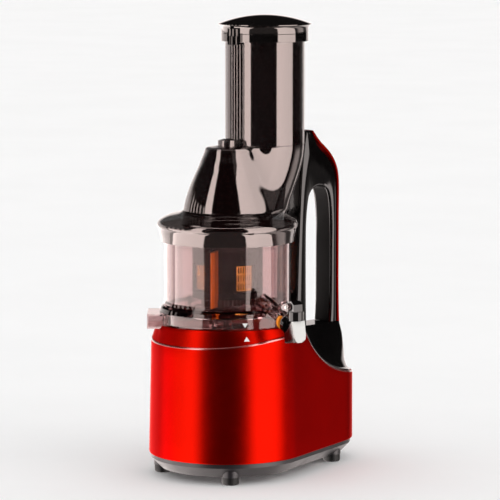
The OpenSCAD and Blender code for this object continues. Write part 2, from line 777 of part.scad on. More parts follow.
// a slab of width w across the mouth's middle, outlined as (out, up)
module slab(w) {
  rotate([90, 0, 0]) translate([0, 0, -w / 2]) linear_extrude(w) children();
}
spout_mouth_z = floor_z - 4.5;
spout_len = spout_reach / cos(spout_slope) - (bowl_in_r - 4) / cos(spout_slope);
ear_gap = 7.2;                       // the cap's ears stand this far from the middle
ear_t = 2.5;
pin_up = 16;                         // the cap's pin above the mouth's centre
pin_out = 10;                        // and beyond it

module duct_body(grow) {
  rotate(duct_az) translate([0, -duct_w / 2 - grow, duct_z - grow])
    cube([duct_reach + grow, duct_w + 2 * grow, duct_h + 2 * grow]);
}
module bowl() {
  color([0.75, 0.68, 0.68, 0.5]) on_axis() difference() {
    union() {
      // wall, floor, skirt and tower
      rotate_extrude() polygon([
        [tower_bore, floor_z - floor_t], [bowl_r - 5, floor_z - floor_t],
        [skirt_r - 2.5, floor_z - floor_t - 3], [skirt_r - 2.5, skirt_foot_z],
        [skirt_r, skirt_foot_z], [skirt_r, floor_z - 5], [skirt_r - 1.2, floor_z - 1],
        [bowl_r + 0.6, floor_z + 2.5], [bowl_r, floor_z + 6], [bowl_r, bowl_rim_z],
        [bowl_in_r, bowl_rim_z], [bowl_in_r, floor_z], [tower_r, floor_z],
        [tower_r, tower_top_z], [tower_bore, tower_top_z]
      ]);
      for (a = lug_az) translate([0, 0, lug_z])
        arc_bar(bowl_r - 1, bowl_r + lug_reach, a - lug_span / 2, a + lug_span / 2, lug_h);
      // pulp duct under the floor, open at its outer end
      intersection() {
        duct_body(0);
        difference() {
          cylinder(r = duct_reach + 10, h = 300);
          translate([0, 0, -1]) cylinder(r = planet_c - pulp_hole_r - 4, h = 302);
        }
      }
      translate([pulp_at[0], pulp_at[1], duct_z + duct_h - 3])
        cylinder(r = pulp_hole_r + 2, h = floor_z - duct_z - duct_h + 2);
      // juice spout with two ears for the cap's pin
      along_spout() translate([-spout_len, 0, 0]) rotate([0, 90, 0])
        cylinder(r = spout_r, h = spout_len);
      along_spout() translate([-20, -ear_gap - ear_t / 2, 0])
        cube([14, 2 * ear_gap + ear_t, spout_r - 1]);
      at_mouth() for (s = [-1, 1]) translate([0, s * ear_gap, 0]) slab(ear_t) polygon([
        [-18, 8], [-5, 5], [-4.2, 8.5], [3, pin_up - 3.8], [pin_out + 2, pin_up - 3.8],
        [pin_out + 3.7, pin_up - 1.8], [pin_out + 3.7, pin_up + 2], [pin_out + 1.6, pin_up + 3.8],
        [pin_out - 1.8, pin_up + 3.8], [-3, pin_up - 1.5], [-18, pin_up + 1]
      ]);
    }
    // hollow of the bowl, so that nothing of the spout or duct stands inside
    translate([0, 0, floor_z - 0.01]) tube(bowl_in_r + 0.01, tower_r - 0.01, bowl_depth + 1);
    rotate(duct_az) translate([planet_c - pulp_hole_r - 2, -duct_w / 2 + duct_wall,
      duct_z + duct_wall]) cube([duct_reach, duct_w - 2 * duct_wall, duct_h - 2 * duct_wall]);
    translate([pulp_at[0], pulp_at[1], duct_z + duct_h - 4])
      cylinder(r = pulp_hole_r, h = 20);
    translate([0, 0, skirt_foot_z - 1]) cylinder(r = tower_bore, h = 60);
    along_spout() translate([-spout_len - 6, 0, 0]) rotate([0, 90, 0])
      cylinder(r = spout_bore, h = spout_len + 20);
    at_mouth() translate([pin_out, 0, pin_up]) rotate([90, 0, 0])
      cylinder(r = 1.5, h = 40, center = true);
    // sockets for the strainer's pins
    for (a = planet_az) translate([each polar(planet_c, a), floor_z - 1.6])
      cylinder(r = 2.6, h = 4);
  }
}
module triangle_mark(size) {
  linear_extrude(0.35) polygon([[-size / 2, 0], [size / 2, 0], [0, size * 0.8]]);
}
mark_az = -30;
module bowl_mark() {
  color("white") on_axis() rotate(mark_az) translate([skirt_r + 0.1, 0, floor_z - 9.5])
    rotate([90, 180, 90]) triangle_mark(6);
}
module base_mark() {
  r0 = rim_r + 0.6;
  r1 = egg_r(mark_az, edge_inset) - 0.9;
  lean = atan2(shell_top(mark_az, r0) - shell_top(mark_az, r1), r1 - r0);
  color("white") on_axis() rotate(mark_az)
    translate([r1, 0, shell_top(mark_az, r1) + 0.35]) rotate([0, lean, 0])
    rotate([0, 0, 90]) triangle_mark(6);
}
module drive_seal() {
  color("dimgray") on_axis() translate([0, 0, deck_z + 11]) difference() {
    union() {
      cylinder(r = tower_bore - 0.05, h = 16);
      cylinder(r = tower_bore + 3, h = floor_z - floor_t - deck_z - 11.1);
    }
    translate([0, 0, -1]) cylinder(r = 6.4, h = 20);
  }
}
module pulp_flap() {
  color("dimgray") on_axis() rotate(duct_az)
    translate([duct_reach - 26, -duct_w / 2 + duct_wall + slip, duct_z + duct_wall + 0.1])
    difference() {
      cube([3, duct_w - 2 * duct_wall - 2 * slip, duct_h - 2 * duct_wall - 0.2]);
      translate([-1, 8, 3]) cube([5, duct_w - 2 * duct_wall - 2 * slip - 16, 20]);
    }
}
module spout_seal() {
  color("orangered") on_axis() along_spout() translate([-4, 0, 0]) rotate([0, 90, 0]) difference() {
    cylinder(r = spout_r + 3, h = 3.4);
    translate([0, 0, -1]) cylinder(r = spout_r + 0.02, h = 6);
    translate([-30 - spout_r * 0.65, -20, -1]) cube([30, 40, 6]);
  }
}
module cap_pin() {
  color("silver") on_axis() at_mouth() translate([pin_out, 0, pin_up]) rotate([90, 0, 0])
    cylinder(r = 1.5 - 0.03, h = 2 * ear_gap + 4, center = true);
}

// ---- spout cap: a hinged lever whose tongue hangs before the mouth ----
cap_gap = 1.2;
disc_r = spout_r + 3.5;
knuckle = 2 * ear_gap - ear_t - 2 * slip;
hood_w = 16.4;
hood_top = pin_up - 4.2;
module cap_lever() {
  color("black") on_axis() difference() {
    union() {
      at_mouth() {
        translate([pin_out, 0, pin_up]) rotate([90, 0, 0])
          cylinder(r = 3.4, h = knuckle, center = true);
        // thumb piece between the ears
        slab(knuckle) polygon([
          [pin_out - 2, hood_top - 3], [pin_out - 1, pin_up + 3], [pin_out + 1, pin_up + 6],
          [pin_out + 5, pin_up + 6.4], [pin_out + 9, pin_up + 3], [pin_out + 9.6, hood_top - 3]
        ]);
        // round hood over the tongue
        intersection() {
          translate([pin_out + 5.5, 0, 2.6]) cylinder(r = hood_w / 2, h = hood_top - 2.6);
          translate([pin_out - 2, -20, -20]) cube([40, 40, 60]);
        }
        // hollow blade behind the tongue
        difference() {
          slab(13) polygon([
            [9.4, 8], [18.2, 8], [18.2, 2.2], [22.2, -16], [20.6, -19.5], [9, -21.3],
            [5.4, -21.3], [4.4, -12]
          ]);
          slab(9.4) polygon([
            [11, -3], [17, -3], [20, -16], [19, -24], [7.4, -24], [6.6, -12]
          ]);
        }
      }
      along_spout() translate([cap_gap + 2.4, 0, 0]) rotate([0, 90, 0])
        cylinder(r = disc_r, h = 4.4);
    }
    at_mouth() translate([pin_out, 0, pin_up]) rotate([90, 0, 0])
      cylinder(r = 1.5 + run_fit, h = 40, center = true);
  }
}
module cap_tongue() {
  color("lightgray") on_axis() at_mouth() intersection() {
    slab(20) polygon([
      [18.35, 2.2], [19.95, 2.3], [23.95, -16], [22.4, -19.9], [20.8, -19.4], [22.35, -16]
    ]);
    rotate([90, 0, 90]) linear_extrude(40) polygon([
      [-8, 4], [-7.2, -13], [-5.9, -17], [-2.6, -19.7], [2.6, -19.7], [5.9, -17],
      [7.2, -13], [8, 4]
    ]);
  }
}
module cap_plug() {
  color("gainsboro") on_axis() along_spout() rotate([0, 90, 0]) {
    translate([0, 0, cap_gap - 0.9]) cylinder(r = spout_r + 1.2, h = 3.2);
    translate([0, 0, -2]) cylinder(r1 = spout_bore - 1.6, r2 = spout_bore - 0.7, h = 4);
  }
}

// ---- strainer ----
strainer_in_r = strainer_r - 2.4;
plate_z = set_gear_z + set_gear_h + 0.5;   // strainer's bottom plate, over the planets
window_z = plate_z + 9.5;
window_w = 23;
strainer_top_z = bowl_rim_z - 16;
screen_t = 1.2;
pin_r = 2.5;
window_az = [for (k = [0 : windows - 1]) -102 + k * 360 / windows];
module strainer_frame() {
  color([0.25, 0.2, 0.2, 0.8]) on_axis() {
    difference() {
      rotate_extrude() polygon([
        [tower_r + 1 + 5, plate_z], [strainer_r, plate_z], [strainer_r, window_z - 3],
        [strainer_r + 0.8, window_z - 2], [strainer_r, window_z - 1], [strainer_r, strainer_top_z],
        [strainer_in_r - screen_t, strainer_top_z], [strainer_in_r - screen_t, window_z + window_h + 2],
        [strainer_in_r, window_z + window_h + 1.2], [strainer_in_r, window_z - 1],
        [strainer_in_r - screen_t - 0.3, window_z - 2], [strainer_in_r - screen_t - 0.3, plate_z + 2.4],
        [tower_r + 1 + 5, plate_z + 2.4]
      ]);
      for (a = window_az) rotate(a) translate([20, -window_w / 2, window_z])
        cube([30, window_w, window_h]);
      translate([pulp_at[0], pulp_at[1], plate_z - 1]) cylinder(r = 5.5, h = 6);
    }
    for (a = planet_az) translate([each polar(planet_c, a), floor_z - 1.4])
      cylinder(r = pin_r, h = plate_z - floor_z + 1.6);
  }
}
module strainer_screen() {
  pitch_w = window_w / (slot_columns + 1);
  pitch_h = window_h / slot_rows;
  color("goldenrod") on_axis() difference() {
    translate([0, 0, window_z - 0.8])
      tube(strainer_in_r - 0.05, strainer_in_r - screen_t, window_h + 1.8);
    for (a = window_az, c = [0 : slot_columns - 1], r = [0 : slot_rows - 1])
      rotate(a + (c - (slot_columns - 1) / 2) * pitch_w / strainer_r * 180 / PI)
        translate([20, -0.55, window_z + r * pitch_h + 1]) cube([30, 1.1, pitch_h - 2]);
  }
}
module planet_gear(a) {
  color("sienna") on_axis() translate([each polar(planet_c, a), set_gear_z]) difference() {
    gear(set_m, planet_z, set_gear_h, mesh_turn(a, sun_z, 0, planet_z));
    translate([0, 0, -1]) cylinder(r = pin_r + run_fit, h = set_gear_h + 2);
  }
}
module planet_gear_1() { planet_gear(planet_az[0]); }
module planet_gear_2() { planet_gear(planet_az[1]); }
module planet_gear_3() { planet_gear(planet_az[2]); }

// ---- brush frame and its wipers ----
ring_out_r = set_m * ring_z / 2 + 4.6;
brush_r = bowl_in_r - 5;
brush_in_r = brush_r - 9;
brush_top_z = bowl_rim_z - 19;
wiper_az = [-60, 120];
module brush_frame() {
  color([0.8, 0.78, 0.78, 0.5]) on_axis() {
    difference() {
      union() {
        translate([0, 0, set_gear_z - 0.4]) cylinder(r = ring_out_r, h = set_gear_h + 0.8);
        translate([0, 0, set_gear_z - 0.4]) cylinder(r = brush_r, h = 3);
      }
      translate([0, 0, set_gear_z - 2]) linear_extrude(set_gear_h + 6)
        polygon(gear_points(set_m, ring_z, ded_k, add_k, -backlash, ring_turn));
      for (a = [15 : 30 : 345]) rotate(a) translate([(ring_out_r + brush_r) / 2, 0, set_gear_z - 2])
        cylinder(r = 3, h = 5);
    }
    for (a = wiper_az) difference() {
      translate([0, 0, set_gear_z])
        arc_bar(brush_in_r + 0.3, brush_r - 0.3, a - 9, a + 9, brush_top_z - set_gear_z - 0.2);
      rotate(a) translate([brush_in_r - 4, -2.3, set_gear_z + 2.6])
        cube([14, 4.6, brush_top_z - set_gear_z]);
    }
    for (a = [wiper_az[0] + 90, wiper_az[1] + 90]) translate([0, 0, set_gear_z])
      arc_bar(brush_in_r + 3, brush_r - 0.3, a - 7, a + 7, brush_top_z - set_gear_z - 0.2);
    translate([0, 0, brush_top_z - 2.5]) difference() {
      tube(brush_r, brush_in_r, 2.5);
      for (a = wiper_az) rotate(a) translate([brush_in_r - 4, -2.3, -2]) cube([14, 4.6, 4]);
    }
  }
}
module wipers() {
  h = brush_top_z - set_gear_z - 5.6;
  color("orangered") on_axis() difference() {
    for (a = wiper_az) rotate(a) translate([0, 0, set_gear_z + 2.8]) linear_extrude(h) polygon([
      [strainer_r + 1.2, -0.7], [brush_in_r - 4, -2.1], [brush_r - 0.5, -2.1],
      [bowl_in_r - 0.5, -0.7], [bowl_in_r - 0.5, 0.7], [brush_r - 0.5, 2.1],
      [brush_in_r - 4, 2.1], [strainer_r + 1.2, 0.7]
    ]);
    cylinder(r = ring_out_r + 0.6, h = set_gear_z + set_gear_h + 1);
  }
}

// ---- auger ----
auger_foot_z = plate_z + 3.4;
auger_bore = 14.6;
socket_top_z = hex_top_z + 2;
auger_body_z = strainer_top_z;
auger_top_z = cone_top_z - 17;
flight_r = strainer_in_r - screen_t - 1.2;
function auger_core(z) =
  z < auger_body_z ? mix(24, 26, (z - auger_foot_z) / (auger_body_z - auger_foot_z))
  : mix(26, 8, pow((z - auger_body_z) / (auger_top_z - auger_body_z), 0.85));
function auger_reach(z) =
  z < auger_body_z ? flight_r
  : mix(flight_r, 14.5, pow((z - auger_body_z) / (auger_top_z - auger_body_z), 1.15));
auger_sides = 30;
auger_rings = 34;
// a thread's section: one narrow crest in each turn
function crest(a) =
  let (d = abs(((a % 360) + 540) % 360 - 180)) clamp(1.45 - d / 24, 0, 1);
module auger() {
  color([0.16, 0.12, 0.11]) on_axis() stack_solid(concat(
    [for (z = [socket_top_z + 0.6, auger_foot_z])
      [for (j = [0 : auger_sides - 1]) [each polar(auger_bore, -j * 360 / auger_sides), z]]],
    [for (i = [0 : auger_rings])
      let (
        t = i / auger_rings,
        z = mix(auger_foot_z, auger_top_z, t),
        lead = t * auger_turns * 360
      )
      [for (j = [0 : auger_sides - 1])
        let (d = j * 360 / auger_sides)
        [each polar(mix(auger_core(z), auger_reach(z), crest(d)), lead - d), z]]]
  ));
}
module auger_gear() {
  color("sienna") on_axis() difference() {
    union() {
      translate([0, 0, set_gear_z]) gear(set_m, sun_z, set_gear_h, 0);
      translate([0, 0, set_gear_z + set_gear_h - 0.2])
        cylinder(r = 16.2, h = auger_foot_z - set_gear_z - set_gear_h + 0.1);
      translate([0, 0, auger_foot_z - 0.2])
        cylinder(r = auger_bore * cos(180 / auger_sides) - 0.1, h = socket_top_z - auger_foot_z + 0.6);
    }
    translate([0, 0, set_gear_z - 1]) cylinder(r = tower_r + 0.5, h = tower_top_z - set_gear_z + 1.6);
    translate([0, 0, set_gear_z]) hex(hex_af - 1.9 + 2 * slip, socket_top_z - set_gear_z - 1);
  }
}
knob_r = 10;
pin_top_z = cone_top_z + 4;
module auger_pin() {
  color("silver") on_axis() translate([0, 0, auger_top_z + 0.02])
    cylinder(r = 5, h = pin_top_z - auger_top_z);
}

// ---- hopper ----
collar_foot_z = bowl_rim_z - 15;
collar_in_r = bowl_r + lug_reach + 0.4;
seal_h = 2;
shoulder_z = bowl_rim_z + seal_h + 0.15;  // where the collar turns in over the rim
funnel_r = strainer_r + slip;             // the funnel's foot slips over the strainer
cone_foot_z = bowl_rim_z + 17;
cone_h = cone_top_z - cone_foot_z;
cone_profile = [                          // radius and share of the cone's height
  [46.5, -0.05], [45.8, 0.03], [42, 0.26], [35.6, 0.51], [27.6, 0.77], [21.6, 0.97], [20.6, 1]
];
neck_foot_z = cone_foot_z - 7;
neck_top_z = cone_top_z - 2;
neck_steps = 8;
neck_foot_y = 27;
neck_foot_r = 43;
// the neck carries the feed tube's round over to the cone, along an S
module neck_part(i, shrink) {
  t = i / neck_steps;
  s = smooth(t, -0.15, 1);
  translate([0, mix(neck_foot_y, tube_back, s), mix(neck_foot_z, neck_top_z, t)])
    cylinder(r = mix(neck_foot_r, tube_r, s) - shrink, h = 0.05, $fn = 48);
}
module neck(shrink) {
  for (i = [0 : neck_steps - 1]) hull() {
    neck_part(i, shrink);
    neck_part(i + 1, shrink);
  }
}
module hopper() {
  w = hopper_wall;
  color([0.35, 0.28, 0.28, 0.6]) on_axis() difference() {
    union() {
      rotate_extrude($fn = 64) polygon(concat(
        [
          [0, collar_foot_z], [collar_in_r + 0.9, collar_foot_z - 1], [collar_r - 3.9, collar_foot_z + 4],
          [collar_r - 1.9, collar_foot_z + 12], [collar_r, bowl_rim_z + 1],
          [collar_r - 0.4, bowl_rim_z + 4], [collar_r - 3.8, bowl_rim_z + 7.5],
          [collar_r - 9, bowl_rim_z + 10.5], [collar_r - 14, bowl_rim_z + 12.2],
          [cone_profile[0][0] + 4, bowl_rim_z + 13.8]
        ],
        [for (p = cone_profile) [p[0], cone_foot_z + p[1] * cone_h]],
        [[0, cone_top_z]]
      ));
      neck(0);
      translate([0, tube_back, neck_top_z])
        cylinder(r = tube_r, h = tube_top_z - neck_top_z, $fn = 64);
      translate([-4.5, knob_r + slip, cone_top_z - 4]) cube([9, 9, 9]);
    }
    // room for the bowl's rim and the bayonet
    rotate_extrude($fn = 64) polygon([
      [0, collar_foot_z - 3], [collar_in_r, collar_foot_z - 3], [collar_in_r, shoulder_z],
      [bowl_in_r - 4, shoulder_z], [0, shoulder_z]
    ]);
    intersection() {
      union() {
        rotate_extrude($fn = 64) polygon(concat(
          [[0, shoulder_z - 1], [cone_profile[0][0] - w + 4, shoulder_z - 1]],
          [for (p = cone_profile) [p[0] - w, cone_foot_z + p[1] * (cone_h - w)]],
          [[0, cone_top_z - w]]
        ));
        neck(w);
        translate([0, tube_back, neck_top_z])
          cylinder(r = tube_r - w, h = tube_top_z - neck_top_z + 1, $fn = 64);
      }
      translate([-100, -100, shoulder_z - 1]) cube([200, 200, 400]);
    }
    translate([0, 0, cone_top_z - w - 2]) cylinder(r = 7.2, h = 20, $fn = 48);
  }
  // funnel down to the strainer, and tabs that turn in under the bowl's lugs
  color([0.35, 0.28, 0.28, 0.6]) on_axis() {
    rotate_extrude($fn = 64) polygon([
      [funnel_r, strainer_top_z - 4], [funnel_r + 2.2, strainer_top_z - 4],
      [funnel_r + 2.2, strainer_top_z + 3], [cone_profile[0][0] + 3.5, shoulder_z + 0.3],
      [cone_profile[0][0], shoulder_z + 0.3], [funnel_r, strainer_top_z + 3]
    ]);
    for (a = lug_az) translate([0, 0, lug_z - 3.4])
      arc_bar(bowl_r + 0.5, collar_in_r + 0.4, a - lug_span / 2 + 1, a + lug_span / 2 - 1, 3);
  }
}
module hopper_seal() {
  color("dimgray") on_axis() translate([0, 0, bowl_rim_z + 0.05])
    tube(bowl_r + 0.4, bowl_in_r - 0.8, seal_h);
}
module bearing_knob() {
  color("gainsboro") on_axis() translate([0, 0, cone_top_z]) difference() {
    union() {
      translate([0, 0, -hopper_wall - 8]) cylinder(r = 7, h = hopper_wall + 8.5);
      translate([0, 0, 0.05]) cylinder(r = knob_r, h = 6.8);
      translate([0, 0, 6.8]) cylinder(r1 = knob_r - 0.6, r2 = 4, h = 1.6);
    }
    translate([0, 0, -hopper_wall - 12])
      cylinder(r = 5 + run_fit, h = pin_top_z - cone_top_z + hopper_wall + 12.4);
  }
}

// ---- chute ring, lid and latch ----
ring_foot_z = tube_top_z - 6.4;
ring_r = tube_r + 4;
lip_z = tube_top_z + 0.2;
lid_z = lip_z + 2.2;
flare_r = tube_r + 7;
hinge_back = ring_r + 4.8;
hinge_z = lid_z + 2.8;
ear_x = 7.4;
module at_tube() {
  on_axis() translate([0, tube_back, 0]) children();
}
module chute_ring() {
  color("black") at_tube() difference() {
    union() {
      translate([0, 0, ring_foot_z]) cylinder(r = ring_r, h = lip_z + 1.8 - ring_foot_z);
      for (s = [-1, 1]) translate([s * ear_x, 0, 0]) rotate([90, 0, 90])
        translate([0, 0, -1.3]) linear_extrude(2.6) polygon([
          [ring_r - 1.5, ring_foot_z], [ring_r + 2, ring_foot_z],
          [hinge_back + 3.2, hinge_z - 2], [hinge_back + 3.2, hinge_z + 2],
          [hinge_back + 1.6, hinge_z + 3.4], [hinge_back - 1.6, hinge_z + 3.4],
          [hinge_back - 3, hinge_z + 1.6], [hinge_back - 3, lid_z - 0.6], [ring_r - 1.5, lid_z - 0.6]
        ]);
    }
    translate([0, 0, ring_foot_z - 1]) cylinder(r = tube_r + 0.1, h = lip_z - ring_foot_z + 1);
    translate([0, 0, ring_foot_z - 1]) cylinder(r = tube_r - hopper_wall, h = 30);
    translate([0, hinge_back, hinge_z]) rotate([0, 90, 0]) cylinder(r = 1.5, h = 40, center = true);
  }
}
module lid_pin() {
  color("silver") at_tube() translate([0, hinge_back, hinge_z]) rotate([0, 90, 0])
    cylinder(r = 1.5 - 0.03, h = 2 * ear_x + 2.4, center = true);
}
module lid() {
  n = 10;
  top = lid_z + 9.5;
  dome = (flare_r * flare_r + dome_h * dome_h) / (2 * dome_h);
  w = 2.4;
  color("black") at_tube() difference() {
    union() {
      rotate_extrude() polygon(concat(
        [
          [ring_r - w, lid_z + 3], [ring_r - w, lid_z], [ring_r, lid_z], [ring_r, lid_z + 5.4],
          [ring_r + 0.8, lid_z + 7.4], [flare_r, top - 0.8], [flare_r, top]
        ],
        [for (k = [1 : n]) let (r = flare_r * (1 - k / n))
          [r, top + sqrt(dome * dome - r * r) - (dome - dome_h)]],
        [[0, top + dome_h - w]],
        [for (k = [n : -1 : 2]) let (r = flare_r * (1 - k / n))
          [r, top + sqrt(dome * dome - r * r) - (dome - dome_h) - w]],
        [[ring_r - w - 1, lid_z + 6]]
      ));
      translate([0, hinge_back, hinge_z]) rotate([0, 90, 0])
        cylinder(r = 3.2, h = 2 * (ear_x - 1.3 - slip), center = true);
      translate([-(ear_x - 1.3 - slip), ring_r - 1.5, hinge_z - 2.6])
        cube([2 * (ear_x - 1.3 - slip), hinge_back - ring_r + 1.5, 5.4]);
    }
    translate([0, hinge_back, hinge_z]) rotate([0, 90, 0])
      cylinder(r = 1.5 + run_fit, h = 40, center = true);
  }
}
latch_half = 9;
module latch_slice(r0, r1, z, h) {
  translate([0, 0, z]) arc_bar(r0, r1, -90 - latch_half, -90 + latch_half, h);
}
module lid_latch() {
  color("black") at_tube() {
    latch_slice(ring_r + 0.02, ring_r + 2, lid_z + 1, 4.2);
    latch_slice(ring_r + 0.35, ring_r + 2, ring_foot_z - 2.6, lid_z - ring_foot_z + 3.6);
    for (k = [-2 : 2]) rotate(-90 + k * 3.6)
      translate([ring_r + 1.5, -0.7, ring_foot_z - 2.6]) cube([1.5, 1.4, 9]);
  }
}

base_shell();
bottom_plate();
feet();
plate_screws();
cord_gland();
handle_frame();
handle_saddle();
handle_cover();
switch_bezel();
switch_rocker();
motor_mounts();
lower_bracket();
upper_bracket();
motor_bearings();
stator();
windings();
rotor();
cooling_fan();
through_bolts();
gearbox_case();
gearbox_cover();
lay_pin();
lay_gear();
output_gear();
drive_shaft();
drive_bearing();
run_capacitor();
control_board();
base_mark();
bowl();
bowl_mark();
drive_seal();
pulp_flap();
spout_seal();
cap_pin();
cap_lever();
cap_tongue();
cap_plug();
strainer_frame();
strainer_screen();
planet_gear_1();
planet_gear_2();
planet_gear_3();
brush_frame();
wipers();
auger();
auger_gear();
auger_pin();
hopper();
hopper_seal();
bearing_knob();
chute_ring();
lid_pin();
lid();
lid_latch();
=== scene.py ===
"""Looks of the cold press juicer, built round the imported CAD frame.

Six nodes get a smoother piece that stands for them: the base shell, the handle's frame, cover and
saddle, the hopper and the auger. The other nodes show as they are, with a finish and soft edges.

Lengths are millimetres measured from the drive axis unless a name says otherwise: x to the right,
y to the back, z up from the table. Directions round the axis are degrees from +x.
"""
import json
import math

import bpy
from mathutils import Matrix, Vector


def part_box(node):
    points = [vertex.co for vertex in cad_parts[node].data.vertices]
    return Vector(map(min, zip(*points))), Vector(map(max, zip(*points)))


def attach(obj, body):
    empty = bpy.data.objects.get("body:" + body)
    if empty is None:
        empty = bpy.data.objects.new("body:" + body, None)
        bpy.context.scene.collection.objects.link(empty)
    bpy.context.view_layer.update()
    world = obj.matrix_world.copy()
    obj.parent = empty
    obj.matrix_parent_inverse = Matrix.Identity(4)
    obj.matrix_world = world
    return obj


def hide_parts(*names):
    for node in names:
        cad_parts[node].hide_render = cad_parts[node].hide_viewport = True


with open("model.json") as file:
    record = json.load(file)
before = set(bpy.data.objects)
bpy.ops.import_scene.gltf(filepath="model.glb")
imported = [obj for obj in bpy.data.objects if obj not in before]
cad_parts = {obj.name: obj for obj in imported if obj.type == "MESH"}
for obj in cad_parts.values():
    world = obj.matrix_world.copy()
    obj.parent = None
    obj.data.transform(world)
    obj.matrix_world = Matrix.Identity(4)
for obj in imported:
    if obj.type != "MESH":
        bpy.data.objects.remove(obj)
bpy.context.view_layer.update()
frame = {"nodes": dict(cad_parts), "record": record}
nodes = frame["nodes"]
slot_of = {p["node"]: p["material_slot"] for p in frame["record"]["subparts"]}

MM = 0.001
pin_lo, pin_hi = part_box("auger_pin")
AX = (pin_lo.x + pin_hi.x) / 2
AY = (pin_lo.y + pin_hi.y) / 2

LOW, HIGH = 0, 1
X, Y, Z = 0, 1, 2


def place(p):
    """A point given from the drive axis in millimetres, in the frame's metres."""
    return (AX + p[0] * MM, AY + p[1] * MM, p[2] * MM)


def end_of(node, end, axis):
    """Where a node's box ends, from the drive axis, rounded to 0.1."""
    return round((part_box(node)[end][axis] - (AX, AY, 0)[axis]) / MM, 1)


# ---------------------------------------------------------------- camera
VIEW_A = math.radians(45)                       # from the front towards the right
PITCH = math.radians(6.9)                       # looking down
SENSOR_MM, PICTURE_PX, FOCAL_PX = 36, 500, 3029
AWAY_M, ASIDE_M, UP_M = 3.155, 0.0236, 0.618    # from the foot of the drive axis

c_out = Vector((math.sin(VIEW_A), -math.cos(VIEW_A), 0))
c_right = Vector((math.cos(VIEW_A), math.sin(VIEW_A), 0))
cam_data = bpy.data.cameras.new("camera")
cam = bpy.data.objects.new("camera", cam_data)
bpy.context.scene.collection.objects.link(cam)
cam_data.sensor_width = SENSOR_MM
cam_data.lens = SENSOR_MM * FOCAL_PX / PICTURE_PX
cam_data.clip_start = 0.1
cam_data.clip_end = 200
cam.location = Vector((AX, AY, 0)) + c_out * AWAY_M + c_right * ASIDE_M + Vector((0, 0, UP_M))
look = -c_out * math.cos(PITCH) - Vector((0, 0, math.sin(PITCH)))
cam.rotation_mode = "QUATERNION"
cam.rotation_quaternion = look.to_track_quat("-Z", "Y")
bpy.context.scene.camera = cam
bpy.context.scene.view_settings.view_transform = "Standard"


# ---------------------------------------------------------------- node helpers
class Net:
    """Adds and joins shader nodes in an emptied tree."""

    def __init__(self, tree):
        self.tree = tree
        tree.nodes.clear()

    def add(self, kind, **inputs):
        """A new node. An input is named as its socket is, or i3 for the socket at index 3."""
        n = self.tree.nodes.new(kind)
        for key, value in inputs.items():
            by_index = key[0] == "i" and key[1:].isdigit()
            self.put(n.inputs[int(key[1:])] if by_index else n.inputs[key], value)
        return n

    def put(self, socket, value):
        if isinstance(value, bpy.types.NodeSocket):
            self.tree.links.new(value, socket)
        else:
            socket.default_value = value

    def math(self, operation, a, b=0.0):
        n = self.add("ShaderNodeMath", i0=a, i1=b)
        n.operation = operation
        return n.outputs[0]

    def ramp(self, value, lo, hi, out_lo=0.0, out_hi=1.0):
        """A smooth step from out_lo at lo to out_hi at hi."""
        n = self.add("ShaderNodeMapRange", i0=value, i1=lo, i2=hi, i3=out_lo, i4=out_hi)
        n.interpolation_type = "SMOOTHSTEP"
        return n.outputs[0]

    def total(self, first, *others):
        for other in others:
            first = self.math("ADD", first, other)
        return first

    def product(self, first, *others):
        for other in others:
            first = self.math("MULTIPLY", first, other)
        return first

    def mix(self, f, a, b):
        """The number a, or b where f is 1."""
        return self.add("ShaderNodeMix", i0=f, i2=a, i3=b).outputs[0]

    def mix_color(self, f, a, b):
        n = self.tree.nodes.new("ShaderNodeMix")
        n.data_type = "RGBA"
        self.put(n.inputs[0], f)
        for k, v in ((6, a), (7, b)):
            self.put(n.inputs[k], v if isinstance(v, bpy.types.NodeSocket) else (*v[:3], 1))
        return n.outputs[2]

    def dot(self, v, direction):
        n = self.tree.nodes.new("ShaderNodeVectorMath")
        n.operation = "DOT_PRODUCT"
        self.put(n.inputs[0], v)
        self.put(n.inputs[1], tuple(direction))
        return n.outputs["Value"]


# ---------------------------------------------------------------- studio
# How brightly each part of the studio shows in the object's gloss
GLOW = {"boxes": 6.4, "slats": 3.2, "wall": 1.5, "side_table": 1.6, "table": 0.16, "strip": 4.0}
ROOM_GLOW = 0.01
BOX_TINT = (1, 0.9, 0.87)
# What lights the object's dull surfaces, and how much more of it comes from the boxes
DULL_LEVEL, DULL_BOXES = 0.98, 0.3


